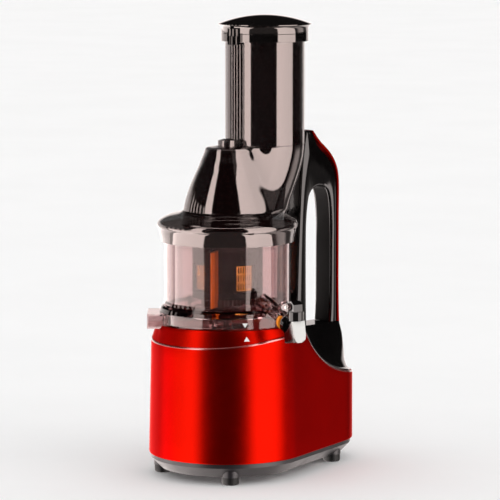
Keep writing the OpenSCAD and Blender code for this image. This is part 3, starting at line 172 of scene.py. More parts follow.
def studio():
    """A white studio: two tall softboxes, slats and a pale wall to the left and behind, a pale
    table below. Angles are degrees: az from the camera's side towards its right, el upwards."""
    world = bpy.data.worlds.new("studio")
    bpy.context.scene.world = world
    world.use_nodes = True
    g = Net(world.node_tree)
    way = g.add("ShaderNodeTexCoord").outputs["Generated"]
    right, out, up = g.dot(way, c_right), g.dot(way, c_out), g.dot(way, (0, 0, 1))
    az = g.product(g.math("ARCTAN2", right, out), 180 / math.pi)
    height = g.math("MINIMUM", g.math("MAXIMUM", up, -1), 1)
    el = g.product(g.math("ARCSINE", height), 180 / math.pi)

    def band(v, lo, hi, soft):
        """1 between lo and hi, falling to 0 over twice soft at either end."""
        return g.product(g.ramp(v, lo - soft, lo + soft), g.ramp(v, hi - soft, hi + soft, 1, 0))

    # The table's far edge lies a little below level
    table = g.ramp(el, -6.4, -4.6, 1, 0)
    above = g.ramp(el, -5.25, -4.95)
    near_level = g.product(above, g.ramp(el, 12, 16, 1, 0))

    # The left box is wide below the table's edge and narrow above it
    right_box = g.product(g.ramp(az, 33, 35.5), g.ramp(az, 86, 89, 1, 0))
    wide_left = band(az, -112, -43, 1.5)
    narrow_left = band(az, -62, -42, 1.2)
    left_box = g.total(g.product(wide_left, g.math("SUBTRACT", 1.0, above)),
                       g.product(narrow_left, above))
    fade = g.ramp(az, 40, 95, 1.05, 0.85)
    boxes = g.product(g.total(left_box, right_box), band(el, -60, 50, 3), fade)

    # Upright slats to the left, a wall behind, and a strip high up all round the front
    stripes = g.ramp(g.math("SINE", g.product(az, 0.55)), -0.2, 1)
    behind = g.total(g.ramp(az, -123, -119, 1, 0), g.ramp(az, 138, 146))
    table_sides = g.total(band(az, 99, 122, 6), g.ramp(az, -108, -100, 1, 0))
    parts = {
        "boxes": boxes,
        "slats": g.product(band(az, -121, -64, 1), near_level, stripes),
        "wall": g.product(behind, g.ramp(el, 6, 14, 1, 0)),
        "side_table": g.product(table_sides, table),
        "table": table,
        "strip": g.product(band(el, 58, 66, 2), band(az, -120, 100, 8)),
    }
    glossy = g.total(*[g.product(part, GLOW[name]) for name, part in parts.items()], ROOM_GLOW)
    dull = g.total(g.product(boxes, DULL_BOXES), DULL_LEVEL)

    # A ray that has bounced off gloss sees the studio, the camera sees white
    ray = g.add("ShaderNodeLightPath")
    bounced = g.math("GREATER_THAN", ray.outputs["Glossy Depth"], 0.5)
    seen = g.math("MAXIMUM", ray.outputs["Is Camera Ray"], ray.outputs["Is Transmission Ray"])
    level = g.mix(bounced, g.mix(seen, dull, 1.0), glossy)
    tint = g.mix_color(bounced, (1, 1, 1), BOX_TINT)
    shade = g.add("ShaderNodeBackground", Color=tint, Strength=level)
    g.add("ShaderNodeOutputWorld", Surface=shade.outputs[0])


studio()


# ---------------------------------------------------------------- materials
SMUDGE_SIZE, FLAKE_SIZE, FLAKE_SHINE = 60.0, 2600.0, 1.9
# The stretch of each pattern's values over which colour, gloss and flakes change
CLOUD_BAND, SMUDGE_BAND, FLAKE_BAND = (0.3, 0.7), (0.3, 0.72), (0.15, 0.5)


def material(name, color, rough, metal=0.0, vary=0.08, vary_size=30.0, rough_vary=0.05,
             grain=0.0, grain_size=2500.0, grain_depth=0.00002, ior=1.5, tint=(1, 1, 1),
             through=0.0, lamps=0.0, alpha=1.0, coat=0.0, coat_rough=0.03, coat_ior=1.5,
             flake=0.0, streak=None):
    """A procedural finish: cloudy colour, smudged gloss and a fine grain in the surface.

    The sizes are noise scales, so a larger one is a finer pattern. streak draws the patterns out
    along one axis, flake is the share of bright metal flakes. through makes glass. lamps is the
    share of the light on what lies behind that passes straight through, and alpha is how much of
    what lies behind the surface hides.
    """
    m = bpy.data.materials.new(name)
    m.use_nodes = True
    g = Net(m.node_tree)
    at = g.add("ShaderNodeTexCoord").outputs["Object"]
    drawn = at
    if streak:
        stretch = g.add("ShaderNodeMapping", i0=at)
        stretch.inputs["Scale"].default_value = streak
        drawn = stretch.outputs[0]
    cloud = g.add("ShaderNodeTexNoise", Vector=drawn, Scale=vary_size, Detail=4.0, Roughness=0.6)
    dark = [c * (1 - vary) for c in color]
    light = [min(1, c * (1 + vary)) for c in color]
    paint = g.mix_color(g.ramp(cloud.outputs[0], *CLOUD_BAND), dark, light)
    if flake:
        cells = g.add("ShaderNodeTexVoronoi", Vector=at, Scale=FLAKE_SIZE)
        spark = g.ramp(cells.outputs["Distance"], *FLAKE_BAND, 1, 0)
        paint = g.mix_color(g.product(spark, flake), paint, [min(1, c * FLAKE_SHINE) for c in color])
    smudge = g.add("ShaderNodeTexNoise", Vector=drawn, Scale=SMUDGE_SIZE, Detail=5.0, Roughness=0.65)
    smoothest, roughest = max(0.0, rough - rough_vary), rough + rough_vary
    gloss = g.ramp(smudge.outputs[0], *SMUDGE_BAND, smoothest, roughest)
    b = g.add("ShaderNodeBsdfPrincipled")
    for socket, value in (
            ("Base Color", paint), ("Roughness", gloss), ("Metallic", metal), ("IOR", ior),
            ("Transmission Weight", through), ("Alpha", alpha), ("Specular Tint", (*tint, 1)),
            ("Coat Weight", coat), ("Coat Roughness", coat_rough), ("Coat IOR", coat_ior)):
        g.put(b.inputs[socket], value)
    if grain:
        fine = g.add("ShaderNodeTexNoise", Vector=drawn, Scale=grain_size, Detail=3.0)
        bump = g.add("ShaderNodeBump", Strength=grain, Distance=grain_depth, Height=fine.outputs[0])
        g.put(b.inputs["Normal"], bump.outputs[0])
    shown = b.outputs[0]
    if lamps:
        ray = g.add("ShaderNodeLightPath")
        passing = g.math("MAXIMUM", ray.outputs["Is Shadow Ray"], ray.outputs["Is Diffuse Ray"])
        open_way = g.add("ShaderNodeBsdfTransparent", Color=(*[min(1, c * lamps) for c in color], 1))
        shown = g.add("ShaderNodeMixShader", i0=passing, i1=shown, i2=open_way.outputs[0]).outputs[0]
    g.add("ShaderNodeOutputMaterial", Surface=shown)
    return m


FINISHES = {
    "red_gloss": dict(color=(0.22, 0.002, 0.0004), rough=0.34, metal=0.88, vary=0.04, ior=1.12,
                      rough_vary=0.02, flake=0.12, grain=0.15, grain_size=900,
                      tint=(1, 0.1, 0.05)),
    # painted highlight: a coated, glossier copy of red_gloss, put only on the top edge's bevel so that
    # a light line shows there
    "red_edge_painted_highlight": dict(color=(0.22, 0.002, 0.0004), rough=0.34, metal=0.84, vary=0.04, coat=1.0,
                     coat_rough=0.22, coat_ior=1.9),
    "black_gloss": dict(color=(0.003, 0.0025, 0.0025), rough=0.07, vary=0.2, rough_vary=0.02,
                        ior=1.42, grain=0.08, grain_size=500),
    "black_lid": dict(color=(0.003, 0.0025, 0.0025), rough=0.05, vary=0.2, rough_vary=0.02,
                      ior=1.8, tint=(1, 0.9, 0.86), grain=0.05, grain_size=500),
    # painted shade: a darker, almost unreflective copy of black_gloss for the handle loop's inner face
    "black_inner_painted_shade": dict(color=(0.002, 0.0015, 0.0015), rough=0.35, vary=0.2, ior=1.1, grain=0.2,
                        grain_size=700),
    "black_matte": dict(color=(0.012, 0.01, 0.012), rough=0.4, grain=0.5, vary=0.2, ior=1.4),
    "black_rubber": dict(color=(0.006, 0.006, 0.006), rough=0.5, grain=0.6, vary=0.2,
                         grain_size=1500, ior=1.25),
    "smoky_clear": dict(color=(0.004, 0.001, 0.001), rough=0.03, rough_vary=0.01, vary=0.1,
                        ior=1.95, tint=(1, 0.88, 0.85), alpha=0.76),
    "bowl_clear": dict(color=(0.64, 0.48, 0.48), rough=0.015, through=1.0, rough_vary=0.01,
                       vary=0.02, ior=1.46, tint=(1, 0.9, 0.87), lamps=1.4),
    "clear": dict(color=(0.06, 0.02, 0.02), rough=0.2, rough_vary=0.01, vary=0.1, ior=1.3,
                  tint=(1, 0.85, 0.82), alpha=0.12),
    "strainer_dark": dict(color=(0.006, 0.002, 0.002), rough=0.3, vary=0.15, ior=1.2),
    "screen_gold": dict(color=(0.9, 0.5, 0.1), rough=0.24, metal=1.0, vary=0.12, grain=0.3,
                        grain_size=1800),
    "auger_dark": dict(color=(0.022, 0.011, 0.01), rough=0.2, vary=0.25, grain=0.2,
                       grain_size=700),
    "gear_brown": dict(color=(0.09, 0.035, 0.02), rough=0.4, vary=0.15, grain=0.3),
    "gear_tan": dict(color=(0.55, 0.43, 0.26), rough=0.45, vary=0.08, grain=0.3),
    "silicone_orange": dict(color=(1.0, 0.3, 0.02), rough=0.5, vary=0.08, ior=1.3, grain=0.3),
    "silicone_grey": dict(color=(0.09, 0.085, 0.085), rough=0.5, vary=0.1, grain=0.3),
    "silicone_clear": dict(color=(0.9, 0.85, 0.83), rough=0.12, through=0.8, vary=0.05, lamps=0.9),
    "grey_light": dict(color=(0.6, 0.6, 0.58), rough=0.25, vary=0.05, grain=0.2),
    "white_plastic": dict(color=(0.75, 0.74, 0.7), rough=0.4, vary=0.04, grain=0.3),
    "white_print": dict(color=(0.85, 0.84, 0.82), rough=0.45, vary=0.04, grain=0.2),
    "steel": dict(color=(0.55, 0.55, 0.54), rough=0.22, metal=1.0, vary=0.08, grain=0.3,
                  streak=(1, 1, 14)),
    "lamination": dict(color=(0.28, 0.28, 0.29), rough=0.35, metal=1.0, vary=0.25, vary_size=900,
                       streak=(0.02, 0.02, 3)),
    "copper": dict(color=(0.62, 0.24, 0.1), rough=0.3, metal=1.0, vary=0.25, vary_size=300,
                   streak=(1, 1, 6), grain=0.6, grain_size=800, grain_depth=0.0002),
    "alloy": dict(color=(0.5, 0.5, 0.5), rough=0.45, metal=1.0, vary=0.1, grain=0.5,
                  grain_size=900),
    "board_green": dict(color=(0.02, 0.16, 0.05), rough=0.4, vary=0.2, vary_size=200, grain=0.3),
    "floor_pale": dict(color=(0.93, 0.93, 0.93), rough=0.9, vary=0.01, vary_size=3),
}
FINISH = {name: material(name, **traits) for name, traits in FINISHES.items()}


# ---------------------------------------------------------------- curves and numbers
def mix(a, b, t):
    return a + (b - a) * t


def clamp(v, lo, hi):
    return min(hi, max(lo, v))


def smooth(v, lo, hi):
    """A smooth step from 0 at lo to 1 at hi."""
    t = clamp((v - lo) / (hi - lo), 0, 1)
    return t * t * (3 - 2 * t)


def cosd(a):
    return math.cos(math.radians(a))


def sind(a):
    return math.sin(math.radians(a))


def curve_at(p, t):
    """A point on the smooth curve through the points p, where t is 0 at the first, 1 at the next
    and so on (Catmull-Rom)."""
    i = int(clamp(math.floor(t), 0, len(p) - 2))
    f = t - i
    a, b, c, d = p[max(i - 1, 0)], p[i], p[i + 1], p[min(i + 2, len(p) - 1)]
    return [0.5 * (2 * b[k] + (c[k] - a[k]) * f + (2 * a[k] - 5 * b[k] + 4 * c[k] - d[k]) * f * f
                   + (3 * b[k] - a[k] - 3 * c[k] + d[k]) * f * f * f) for k in (0, 1)]


def bend(start, corner, end, t):
    """A point on the curve from start to end that a corner pulls towards itself."""
    return [(1 - t) ** 2 * start[k] + 2 * t * (1 - t) * corner[k] + t * t * end[k] for k in (0, 1)]


def rounded(points, radii, steps=4):
    """A closed list of (r, z) points with each corner rounded by its own radius."""
    out = []
    for i, (p, radius) in enumerate(zip(points, radii)):
        before, after = points[i - 1], points[(i + 1) % len(points)]
        reach_b, reach_a = math.dist(p, before), math.dist(p, after)
        r = min(radius, reach_b * 0.45, reach_a * 0.45)
        start = [p[k] + (before[k] - p[k]) * r / reach_b for k in (0, 1)]
        end = [p[k] + (after[k] - p[k]) * r / reach_a for k in (0, 1)]
        out += [bend(start, p, end, k / steps) for k in range(steps + 1)]
    return out


# ---------------------------------------------------------------- mesh helpers
def piece(name, verts, faces, body, slot, replaces=(), crease=32):
    """A smooth piece that rides on a body, with sharp edges where it turns by more than crease."""
    me = bpy.data.meshes.new(name)
    me.from_pydata([place(v) for v in verts], [], faces)
    me.validate()
    o = bpy.data.objects.new(name, me)
    bpy.context.scene.collection.objects.link(o)
    me.shade_smooth()
    me.set_sharp_from_angle(angle=math.radians(crease))
    me.materials.append(FINISH[slot])
    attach(o, body)
    if replaces:
        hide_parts(*replaces)
    return o


def second_finish(o, finish, per_ring, columns):
    """Give the faces in these columns of a ringed mesh another finish."""
    o.data.materials.append(FINISH[finish])
    for f in o.data.polygons:
        if f.loop_total == 4 and f.index % per_ring in columns:
            f.material_index = 1


def loop_mesh(rings, closed_rings=True, flip=False):
    """Vertices and quads of rings that each close on themselves; the list of rings closes too
    unless closed_rings is off, which caps both ends instead."""
    n = len(rings[0])
    verts = [p for r in rings for p in r]
    faces = []
    m = len(rings)
    for i in range(m if closed_rings else m - 1):
        for j in range(n):
            a, b = i * n + j, i * n + (j + 1) % n
            c, d = ((i + 1) % m) * n + (j + 1) % n, ((i + 1) % m) * n + j
            faces.append((a, d, c, b) if flip else (a, b, c, d))
    if not closed_rings:
        first, last = list(range(n)), [(m - 1) * n + j for j in range(n)]
        faces += [first, last[::-1]] if flip else [first[::-1], last]
    return verts, faces


def turned(profile, n):
    """Rings of a closed (r, z) profile turned round the drive axis."""
    return [[(r * cosd(360 * j / n), r * sind(360 * j / n), z) for j in range(n)]
            for r, z in profile]


def ring_stretch(name, r_in, r_out, from_a, to_a, z, h, body, slot):
    """A stretch of a ring round the drive axis with rounded edges."""
    steps = 20
    section = rounded([[r_in, z], [r_out, z], [r_out, z + h], [r_in, z + h]], [0.35] * 4, 3)
    rings = []
    for k in range(steps + 1):
        a = mix(from_a, to_a, k / steps)
        rings.append([(r * cosd(a), r * sind(a), level) for r, level in section])
    v, f = loop_mesh(rings, False)
    piece(name, v, f, body, slot)


# ---------------------------------------------------------------- sizes of the base
nose_r = -end_of("base_shell", LOW, Y)
tail_r = 51
tail_reach = end_of("base_shell", HIGH, Y) - tail_r     # from the drive axis to the tail's centre
side_a = math.degrees(math.asin((nose_r - tail_r) / tail_reach))
plate_top_z = end_of("base_shell", LOW, Z)
shell_wall = 3

# The top edge of the wall: its height round the base, and how far it is drawn in
nose_edge_z, side_edge_z, tail_edge_z = 143, 152, 91
sides_from_y = 15
edge_inset, tail_inset = 3.5, 0.9
swoop_y, swoop_len, swoop_blend = 45, 42, 6             # where and how fast it falls to the tail

# The deck that the bowl stands on, and the rim round the bowl's skirt
rim_z = end_of("base_shell", HIGH, Z)
deck_z = rim_z - 5.5
deck_t = 3
skirt_r = end_of("bowl", HIGH, Y)
rim_r, rim_in_r = skirt_r + 4.3, skirt_r + 1.7
drive_hole_r = 24
duct_az = 225                                           # the rim is cut down under the pulp duct
duct_gap = (19, 27)                                     # half of the cut: fully down, fully up


def egg_r(a, inset):
    """Radius of the base's outline in direction a: a round nose, straight sides, a round tail."""
    c, s = abs(cosd(a)), sind(a)
    at = math.degrees(math.atan2(s, c))
    rt = tail_r - inset
    tail_from = math.degrees(math.atan2(tail_reach + rt * sind(side_a), rt * cosd(side_a)))
    if at < side_a:
        return nose_r - inset
    if at < tail_from:
        return (nose_r - inset) / (cosd(side_a) * c + sind(side_a) * s)
    return s * tail_reach + math.sqrt(rt * rt - (tail_reach * c) ** 2)


def edge_z(y):
    """Height of the wall's top edge at y: it climbs from the nose and falls to the tail."""
    front = mix(nose_edge_z, side_edge_z, smooth(y, -nose_r, sides_from_y))
    fall = tail_edge_z + (side_edge_z - tail_edge_z) * math.exp(-max(0, y - swoop_y) / swoop_len)
    return mix(front, fall, smooth(y, swoop_y - swoop_blend, swoop_y + swoop_blend))


def rim_at(a):
    """Height of the rim in direction a."""
    return rim_z - (rim_z - deck_z - 0.2) * (1 - smooth(abs(a - duct_az), *duct_gap))


def edge_in(a):
    """How far the top edge is drawn in from the outline in direction a."""
    return mix(edge_inset, tail_inset, smooth(sind(a), 0.5, 0.97))


def shell_top(a, r):
    """Height of the shell's top at radius r in direction a: it rises from the edge to the rim
    along the front and the sides, and is level behind."""
    y = r * sind(a)
    e = egg_r(a, edge_in(a))
    inwards = clamp((e - r) / (e - rim_r), 0, 1)
    rising = 1 - smooth(y, swoop_y - 5, swoop_y + 7)
    return edge_z(y) + rising * (rim_at(a % 360) - edge_z(y)) * inwards


# ---------------------------------------------------------------- base shell
FOOT_ROUND = ((0.6, 0), (0.25, 0.4), (0.06, 1.1))       # (inset, height above the plate)
WALL_SHARES = (0, 0.15, 0.4, 0.7, 0.9)                  # of the way from the plate to the bevel
EDGE_BEVEL = ((0.85, -1.6), (0.75, -0.1), (-0.1, 0.35))  # (out, up) of its start, corner and end
LEDGE_SHARES = (0.22, 0.4, 0.6, 0.8, 0.93)              # of the way from the edge to the rim
RIM_ROUND = ((0.08, 0.02), (0.3, 0.12), (0.5, 0.4))     # shares of the way in and down
LEDGE_EXTRA = 0.6                                       # the ledge is thicker than the deck
BEVEL_STEPS = 8
SHELL_RINGS = 300


def shell_section(a):
    """The closed (r, z) section of the shell in direction a: up the wall, over the bevel and the
    ledge to the rim, across the deck to the drive hole and back along the inside."""
    edge_r = egg_r(a, edge_in(a))
    top_z = edge_z(edge_r * sind(a))
    inner_r = edge_r - shell_wall
    rim_edge_z = shell_top(a, rim_r)
    rim_low = max(deck_z + 0.1, rim_edge_z - 0.8)
    bevel = [[edge_r + out, top_z + up] for out, up in EDGE_BEVEL]
    deck_under_z = deck_z - deck_t

    section = [[egg_r(a, inset), plate_top_z + up] for inset, up in FOOT_ROUND]
    section += [[mix(egg_r(a, 0), bevel[0][0], t), mix(plate_top_z + 2, bevel[0][1], t)]
                for t in WALL_SHARES]
    section += [bend(*bevel, k / BEVEL_STEPS) for k in range(BEVEL_STEPS + 1)]
    for t in LEDGE_SHARES:
        r = mix(edge_r, rim_r, t)
        section.append([r, shell_top(a, r)])
    section += [[mix(rim_r, rim_in_r, t), mix(rim_edge_z, rim_low, down)] for t, down in RIM_ROUND]
    section += [[rim_in_r, rim_low], [rim_in_r, deck_z], [drive_hole_r, deck_z],
                [drive_hole_r, deck_under_z], [rim_in_r - 2.4, deck_under_z],
                [rim_in_r - 2.5, min(rim_edge_z, deck_z) - deck_t - LEDGE_EXTRA]]
    for t in (0.7, 0.35):
        r = mix(inner_r, rim_r - 1.6, t)
        section.append([r, min(shell_top(a, r), deck_z) - deck_t - LEDGE_EXTRA])
    return section + [[inner_r, min(top_z, deck_z) - deck_t - 2],
                      [egg_r(a, shell_wall), plate_top_z]]


def base_shell():
    rings = []
    for i in range(SHELL_RINGS):
        a = i * 360 / SHELL_RINGS
        rings.append([(r * cosd(a), r * sind(a), z) for r, z in shell_section(a)])
    v, f = loop_mesh(rings)
    o = piece("shell_body", v, f, "housing", "red_gloss", ["base_shell"], crease=40)
    # The bevel's columns get the coated copy of the red: a painted highlight line along the top edge
    bevel_from = len(FOOT_ROUND) + len(WALL_SHARES)
    second_finish(o, "red_edge_painted_highlight", len(rings[0]), range(bevel_from, bevel_from + BEVEL_STEPS))


# ---------------------------------------------------------------- handle
half_w = end_of("handle_frame", HIGH, X)
cover_t = 4
post_foot_z = end_of("handle_frame", LOW, Z)
# (y, z) points of the loop's outer and inner line, from its front foot over the top to its back
frame_out = [
    [90, post_foot_z], [92, 181], [93.6, 225], [95.5, 262], [98.5, 305], [103, 340],
    [106, 354], [109, 355.6], [114.5, 354.4], [124, 340.5],
    [139, 327.5], [148.6, 314.5], [152.6, 298], [153.7, 262], [153.7, 222], [153.7, 190],
    [154.1, 165], [154.7, post_foot_z]]
frame_in = [
    [108, post_foot_z], [107.4, 181], [107.3, 225], [107.8, 258], [110, 281], [113, 288.5],
    [116, 291.8], [119, 293.6], [123, 295], [128, 295.6],
    [134.5, 294.4], [140, 289.8], [143.6, 278], [145.4, 255], [145.4, 222], [145.3, 190],
    [144.8, 165], [143.5, post_foot_z]]
FRAME_ROUND = 3.4


def handle_frame():
    steps, corner_steps = 9, 6
    quarter = [math.radians(90 * k / corner_steps) for k in range(corner_steps + 1)]
    rings = []
    for i in range((len(frame_out) - 1) * steps + 1):
        outer, inner = curve_at(frame_out, i / steps), curve_at(frame_in, i / steps)
        w = math.dist(outer, inner)
        way = [(outer[k] - inner[k]) / w for k in (0, 1)]
        c = min(FRAME_ROUND, w / 3)
        # (distance from the inner line, distance from the handle's middle)
        half = [(c - c * math.cos(t), half_w - c + c * math.sin(t)) for t in quarter]
        half.append((w / 2, half_w))
        half += [(w - c + c * math.sin(t), half_w - c + c * math.cos(t)) for t in quarter]
        both = half + [(d, -x) for d, x in reversed(half)]
        rings.append([(x, inner[0] + way[0] * d, inner[1] + way[1] * d) for d, x in both])
    v, f = loop_mesh(rings, False)
    o = piece("grip_frame", v, f, "housing", "black_gloss", ["handle_frame"], crease=50)
    # The loop's inner face gets the darker, duller copy of the black: painted shade inside the
    # handle's opening
    inner_face = len(rings[0]) - 1
    second_finish(o, "black_inner_painted_shade", len(rings[0]), [inner_face])


# (y, z) points of the line that the cover lies on, from the handle's top to the base's tail
cover_line = [
    [115.3, 355.2], [118, 350.5], [126.3, 341.6], [141, 329.3], [150.4, 316], [154.2, 299],
    [154.2, 262], [154.2, 222], [154.2, 190], [154.7, 165], [155.4, post_foot_z], [157.2, 125],
    [160.2, 108], [162.6, edge_z(tail_reach + tail_r) + 1.6]]
# Half of the cover's crowned section, as shares of its half width and its thickness
cover_crown = [(1, 0), (1, 0.5), (0.985, 0.62), (0.93, 0.73), (0.84, 0.81), (0.7, 0.88),
               (0.5, 0.94), (0.25, 0.985), (0, 1)]
COVER_THIN = 0.55                                       # share of its thickness at its top end


def handle_cover():
    steps = 8
    last = len(cover_line) - 1
    crown = cover_crown + [(-x, up) for x, up in reversed(cover_crown[:-1])]
    rings = []
    for i in range(last * steps + 1):
        t = i / steps
        y, z = curve_at(cover_line, t)
        ahead, back = curve_at(cover_line, min(t + 0.05, last)), curve_at(cover_line, max(t - 0.05, 0))
        along = [ahead[0] - back[0], ahead[1] - back[1]]
        length = math.hypot(*along)
        out = [-along[1] / length, along[0] / length]
        thick = cover_t * min(1, COVER_THIN + t / 2)    # full from the line's second point on
        rings.append([(x * half_w, y + out[0] * up * thick, z + out[1] * up * thick)
                      for x, up in crown])
    v, f = loop_mesh(rings, False)
    piece("grip_cover", v, f, "housing", "red_gloss", ["handle_cover"], crease=50)


# The saddle: from the rim back to saddle_back, and a ridge under the handle's feet
saddle_in_r = rim_r + 1.2
saddle_gap, saddle_back = 0.9, 158
ridge_half = half_w + 0.8
saddle_in_a, saddle_out_a = 38, 34.5                    # where its side starts, inside and outside
SADDLE_COLUMNS, SADDLE_STEPS = 44, 26


def egg_half(y):
    """Half of the saddle's width at y."""
    r = tail_r - tail_inset - 2.5
    s = y - tail_reach
    if s > r * sind(side_a):
        return math.sqrt(r * r - s * s) if abs(s) < r else 0
    return ((nose_r - edge_inset) - sind(side_a) * y) / cosd(side_a)


def saddle_low(p):
    """Height of the saddle's underside, clear of the shell's top and of its fall at swoop_y."""
    a = math.degrees(math.atan2(p[1], p[0]))
    return (shell_top(a, max(math.hypot(*p), rim_r + 0.1)) + saddle_gap
            + 1.2 * (1 - smooth(abs(p[1] - swoop_y - 4), 5, 11)))


def saddle_top(p):
    """Height of the saddle's top: it falls from the ridge to the base's edge on either side."""
    by_rim = 1 - smooth(math.hypot(*p), saddle_in_r, saddle_in_r + 12)
    ridge = post_foot_z - 0.4 + (rim_z - 1 - post_foot_z) * by_rim
    aside = max(0, abs(p[0]) - ridge_half) / max(0.5, egg_half(p[1]) - ridge_half)
    keep = max(0, 1 - aside) ** 2.1
    return max(mix(edge_z(p[1]) + 1.2, ridge, keep), saddle_low(p) + 1)


def handle_saddle():
    in_to = math.degrees(math.acos(ridge_half / saddle_in_r))
    out_to = math.degrees(math.atan2(saddle_back, ridge_half + 0.9))
    # Each column runs from a point at the rim to a point at the base's edge
    side = []
    for k in range(SADDLE_COLUMNS + 1):
        t = k / SADDLE_COLUMNS
        a, b = mix(saddle_in_a, in_to, t), mix(saddle_out_a, out_to, t ** 0.75)
        out_r = egg_r(b, edge_in(b) + 0.5 + 2 * t * t)
        side.append([[saddle_in_r * cosd(a), saddle_in_r * sind(a)],
                     [out_r * cosd(b), out_r * sind(b)]])
    middle = [[[x, math.sqrt(saddle_in_r ** 2 - x * x)], [x, saddle_back]]
              for x in (ridge_half - 0.4, ridge_half * 0.75, ridge_half / 2, ridge_half / 4, 0)]
    right = side + middle
    left = [[[-x, y] for x, y in column] for column in reversed(right[:-1])]
    ends = [0, 0.015, 0.04]
    shares = (ends + [mix(ends[-1], 1 - ends[-1], k / SADDLE_STEPS) for k in range(1, SADDLE_STEPS)]
              + [1 - t for t in reversed(ends)])
    rings = []
    for start, end in right + left:
        line = [[mix(start[k], end[k], t) for k in (0, 1)] for t in shares]
        low = [(*p, saddle_low(p)) for p in line]
        top = [(*p, saddle_top(p)) for p in line]
        for k in (0, -1):
            top[k] = (*line[k], saddle_low(line[k]) + 1)
        rings.append(low + top[::-1])
    v, f = loop_mesh(rings, False)
    piece("grip_saddle", v, f, "housing", "black_gloss", ["handle_saddle"], crease=50)


# ---------------------------------------------------------------- sizes of the hopper
bowl_rim_z = end_of("bowl", HIGH, Z)
hopper_wall = 3
tube_r = 42
tube_back = end_of("hopper", HIGH, Y) - tube_r          # the tube's axis behind the drive axis
tube_top_z = end_of("hopper", HIGH, Z)
auger_top_z = end_of("auger", HIGH, Z)
cone_foot_z, cone_top_z = bowl_rim_z + 17, auger_top_z + 17
cone_h = cone_top_z - cone_foot_z
neck_foot_z, neck_top_z = cone_foot_z - 7, cone_top_z - 2
neck_foot_back, neck_foot_r = 27, 43
collar_r = end_of("hopper", HIGH, X)
bowl_r = collar_r - 7.7
collar_in_r = bowl_r + 2.6
collar_foot_z = bowl_rim_z - 15
shoulder_z = bowl_rim_z + 2.15                          # the face that rests on the hopper's seal
strainer_top_z = end_of("strainer_frame", HIGH, Z)
funnel_r = end_of("strainer_frame", HIGH, X) - 0.5

# (radius, share of the cone's height) of the cone's bell-shaped side
cone_side = [[46.9, -0.12], [45.8, 0.03], [42, 0.26], [35.6, 0.51], [27.6, 0.77], [21.6, 0.97],
             [20.3, 1.03]]


def neck_at(z):
    """How far behind the drive axis the neck's centre lies at z, and its radius there."""
    t = clamp((z - neck_foot_z) / (neck_top_z - neck_foot_z), 0, 1)
    s = smooth(t, -0.15, 1)
    return mix(neck_foot_back, tube_back, s), mix(neck_foot_r, tube_r, s)


def cone_r(z):
    """The cone's radius at z."""
    t = (z - cone_foot_z) / cone_h
    spans = len(cone_side) - 1
    i = next((k for k in range(spans) if t <= cone_side[k + 1][1]), spans - 1)
    f = clamp((t - cone_side[i][1]) / (cone_side[i + 1][1] - cone_side[i][1]), 0, 1)
    return curve_at(cone_side, i + f)[0]


def throat_fillet(z):
    """Reach of the fillet that fills the valley between cone and neck."""
    return mix(25, 50, smooth(z, 300, 340))


STAR_Y = 17.0                                           # every outline is traced from here
RAYS = 720
RING_POINTS = 240


def ray_to_circle(direction, centre_y, r):
    """Distance from (0, STAR_Y) along a direction to a circle centred at (0, centre_y)."""
    from_y = STAR_Y - centre_y
    b = from_y * direction[1]
    return -b + math.sqrt(max(b * b - (from_y * from_y - r * r), 0))


def outline(circle_1, circle_2, soft):
    """Evenly spaced points round the union of two (centre_y, radius) circles, with a fillet of
    reach soft where they meet."""
    half = []
    for k in range(RAYS // 2 + 1):
        a = math.pi / 2 - math.pi * k / (RAYS // 2)
        d = (math.cos(a), math.sin(a))
        far_1, far_2 = ray_to_circle(d, *circle_1), ray_to_circle(d, *circle_2)
        blend = max(soft - abs(far_1 - far_2), 0) / soft
        reach = max(far_1, far_2) + blend * blend * soft / 4
        half.append((d[0] * reach, STAR_Y + d[1] * reach))
    total = [0.0]
    for p, q in zip(half, half[1:]):
        total.append(total[-1] + math.dist(p, q))
    out, i = [], 0
    for k in range(RING_POINTS // 2 + 1):
        want = total[-1] * k / (RING_POINTS // 2)
        while i < len(total) - 2 and total[i + 1] < want:
            i += 1
        f = (want - total[i]) / max(1e-9, total[i + 1] - total[i])
        out.append((mix(half[i][0], half[i + 1][0], f), mix(half[i][1], half[i + 1][1], f)))
    out[0], out[-1] = (0.0, out[0][1]), (0.0, out[-1][1])
    return out + [(-x, y) for x, y in reversed(out[1:-1])]


def circle_ring(centre_y, r):
    return [(r * sind(360 * k / RING_POINTS), centre_y + r * cosd(360 * k / RING_POINTS))
            for k in range(RING_POINTS)]


# ---------------------------------------------------------------- hopper
# The collar's outside up to the shoulder, as (radius, height)
collar_side = [
    [collar_in_r + 0.9, collar_foot_z - 0.6], [collar_in_r + 1.1, collar_foot_z + 1.2],
    [collar_r - 3.6, collar_foot_z + 4.6], [collar_r - 2.7, collar_foot_z + 8],
    [collar_r - 1.9, collar_foot_z + 11.6], [collar_r - 1.2, collar_foot_z + 13.4],
    [collar_r - 0.9, collar_foot_z + 13.9], [collar_r - 0.35, collar_foot_z + 14.5],
    [collar_r, bowl_rim_z + 1], [collar_r - 0.1, bowl_rim_z + 2.6],
    [collar_r - 0.6, bowl_rim_z + 4.2], [collar_r - 1.8, bowl_rim_z + 6],
    [collar_r - 3.8, bowl_rim_z + 7.5], [collar_r - 6.2, bowl_rim_z + 8.9],
    [collar_r - 9, bowl_rim_z + 10.3]]
# Where shoulder turns into cone and neck, outside and inside: (radius, height above the bowl)
cone_foot_out = [[61.8, 11.4], [58.6, 12.3], [55.0, 13.1], [51.6, 13.8], [49.4, 14.5], [48.2, 15.4]]
cone_foot_in = [[46.0, 14], [46.8, 12], [47.0, 8], [47.2, 4]]
# The rounded edge of the cone's flat top: (how far in, how far below the top)
cone_edge = [[0.0, 1.3], [0.25, 0.55], [0.8, 0.1], [1.6, 0]]
RING_STEP = 1.6
CONE_FROM = 16.8                                        # its first plain ring above the bowl's rim
tube_levels = [360, 380, 400, 420, 440]
# The tabs inside the collar that lock it to the bowl
TABS, FIRST_TAB_A, TAB_HALF_A = 4, 20, 9


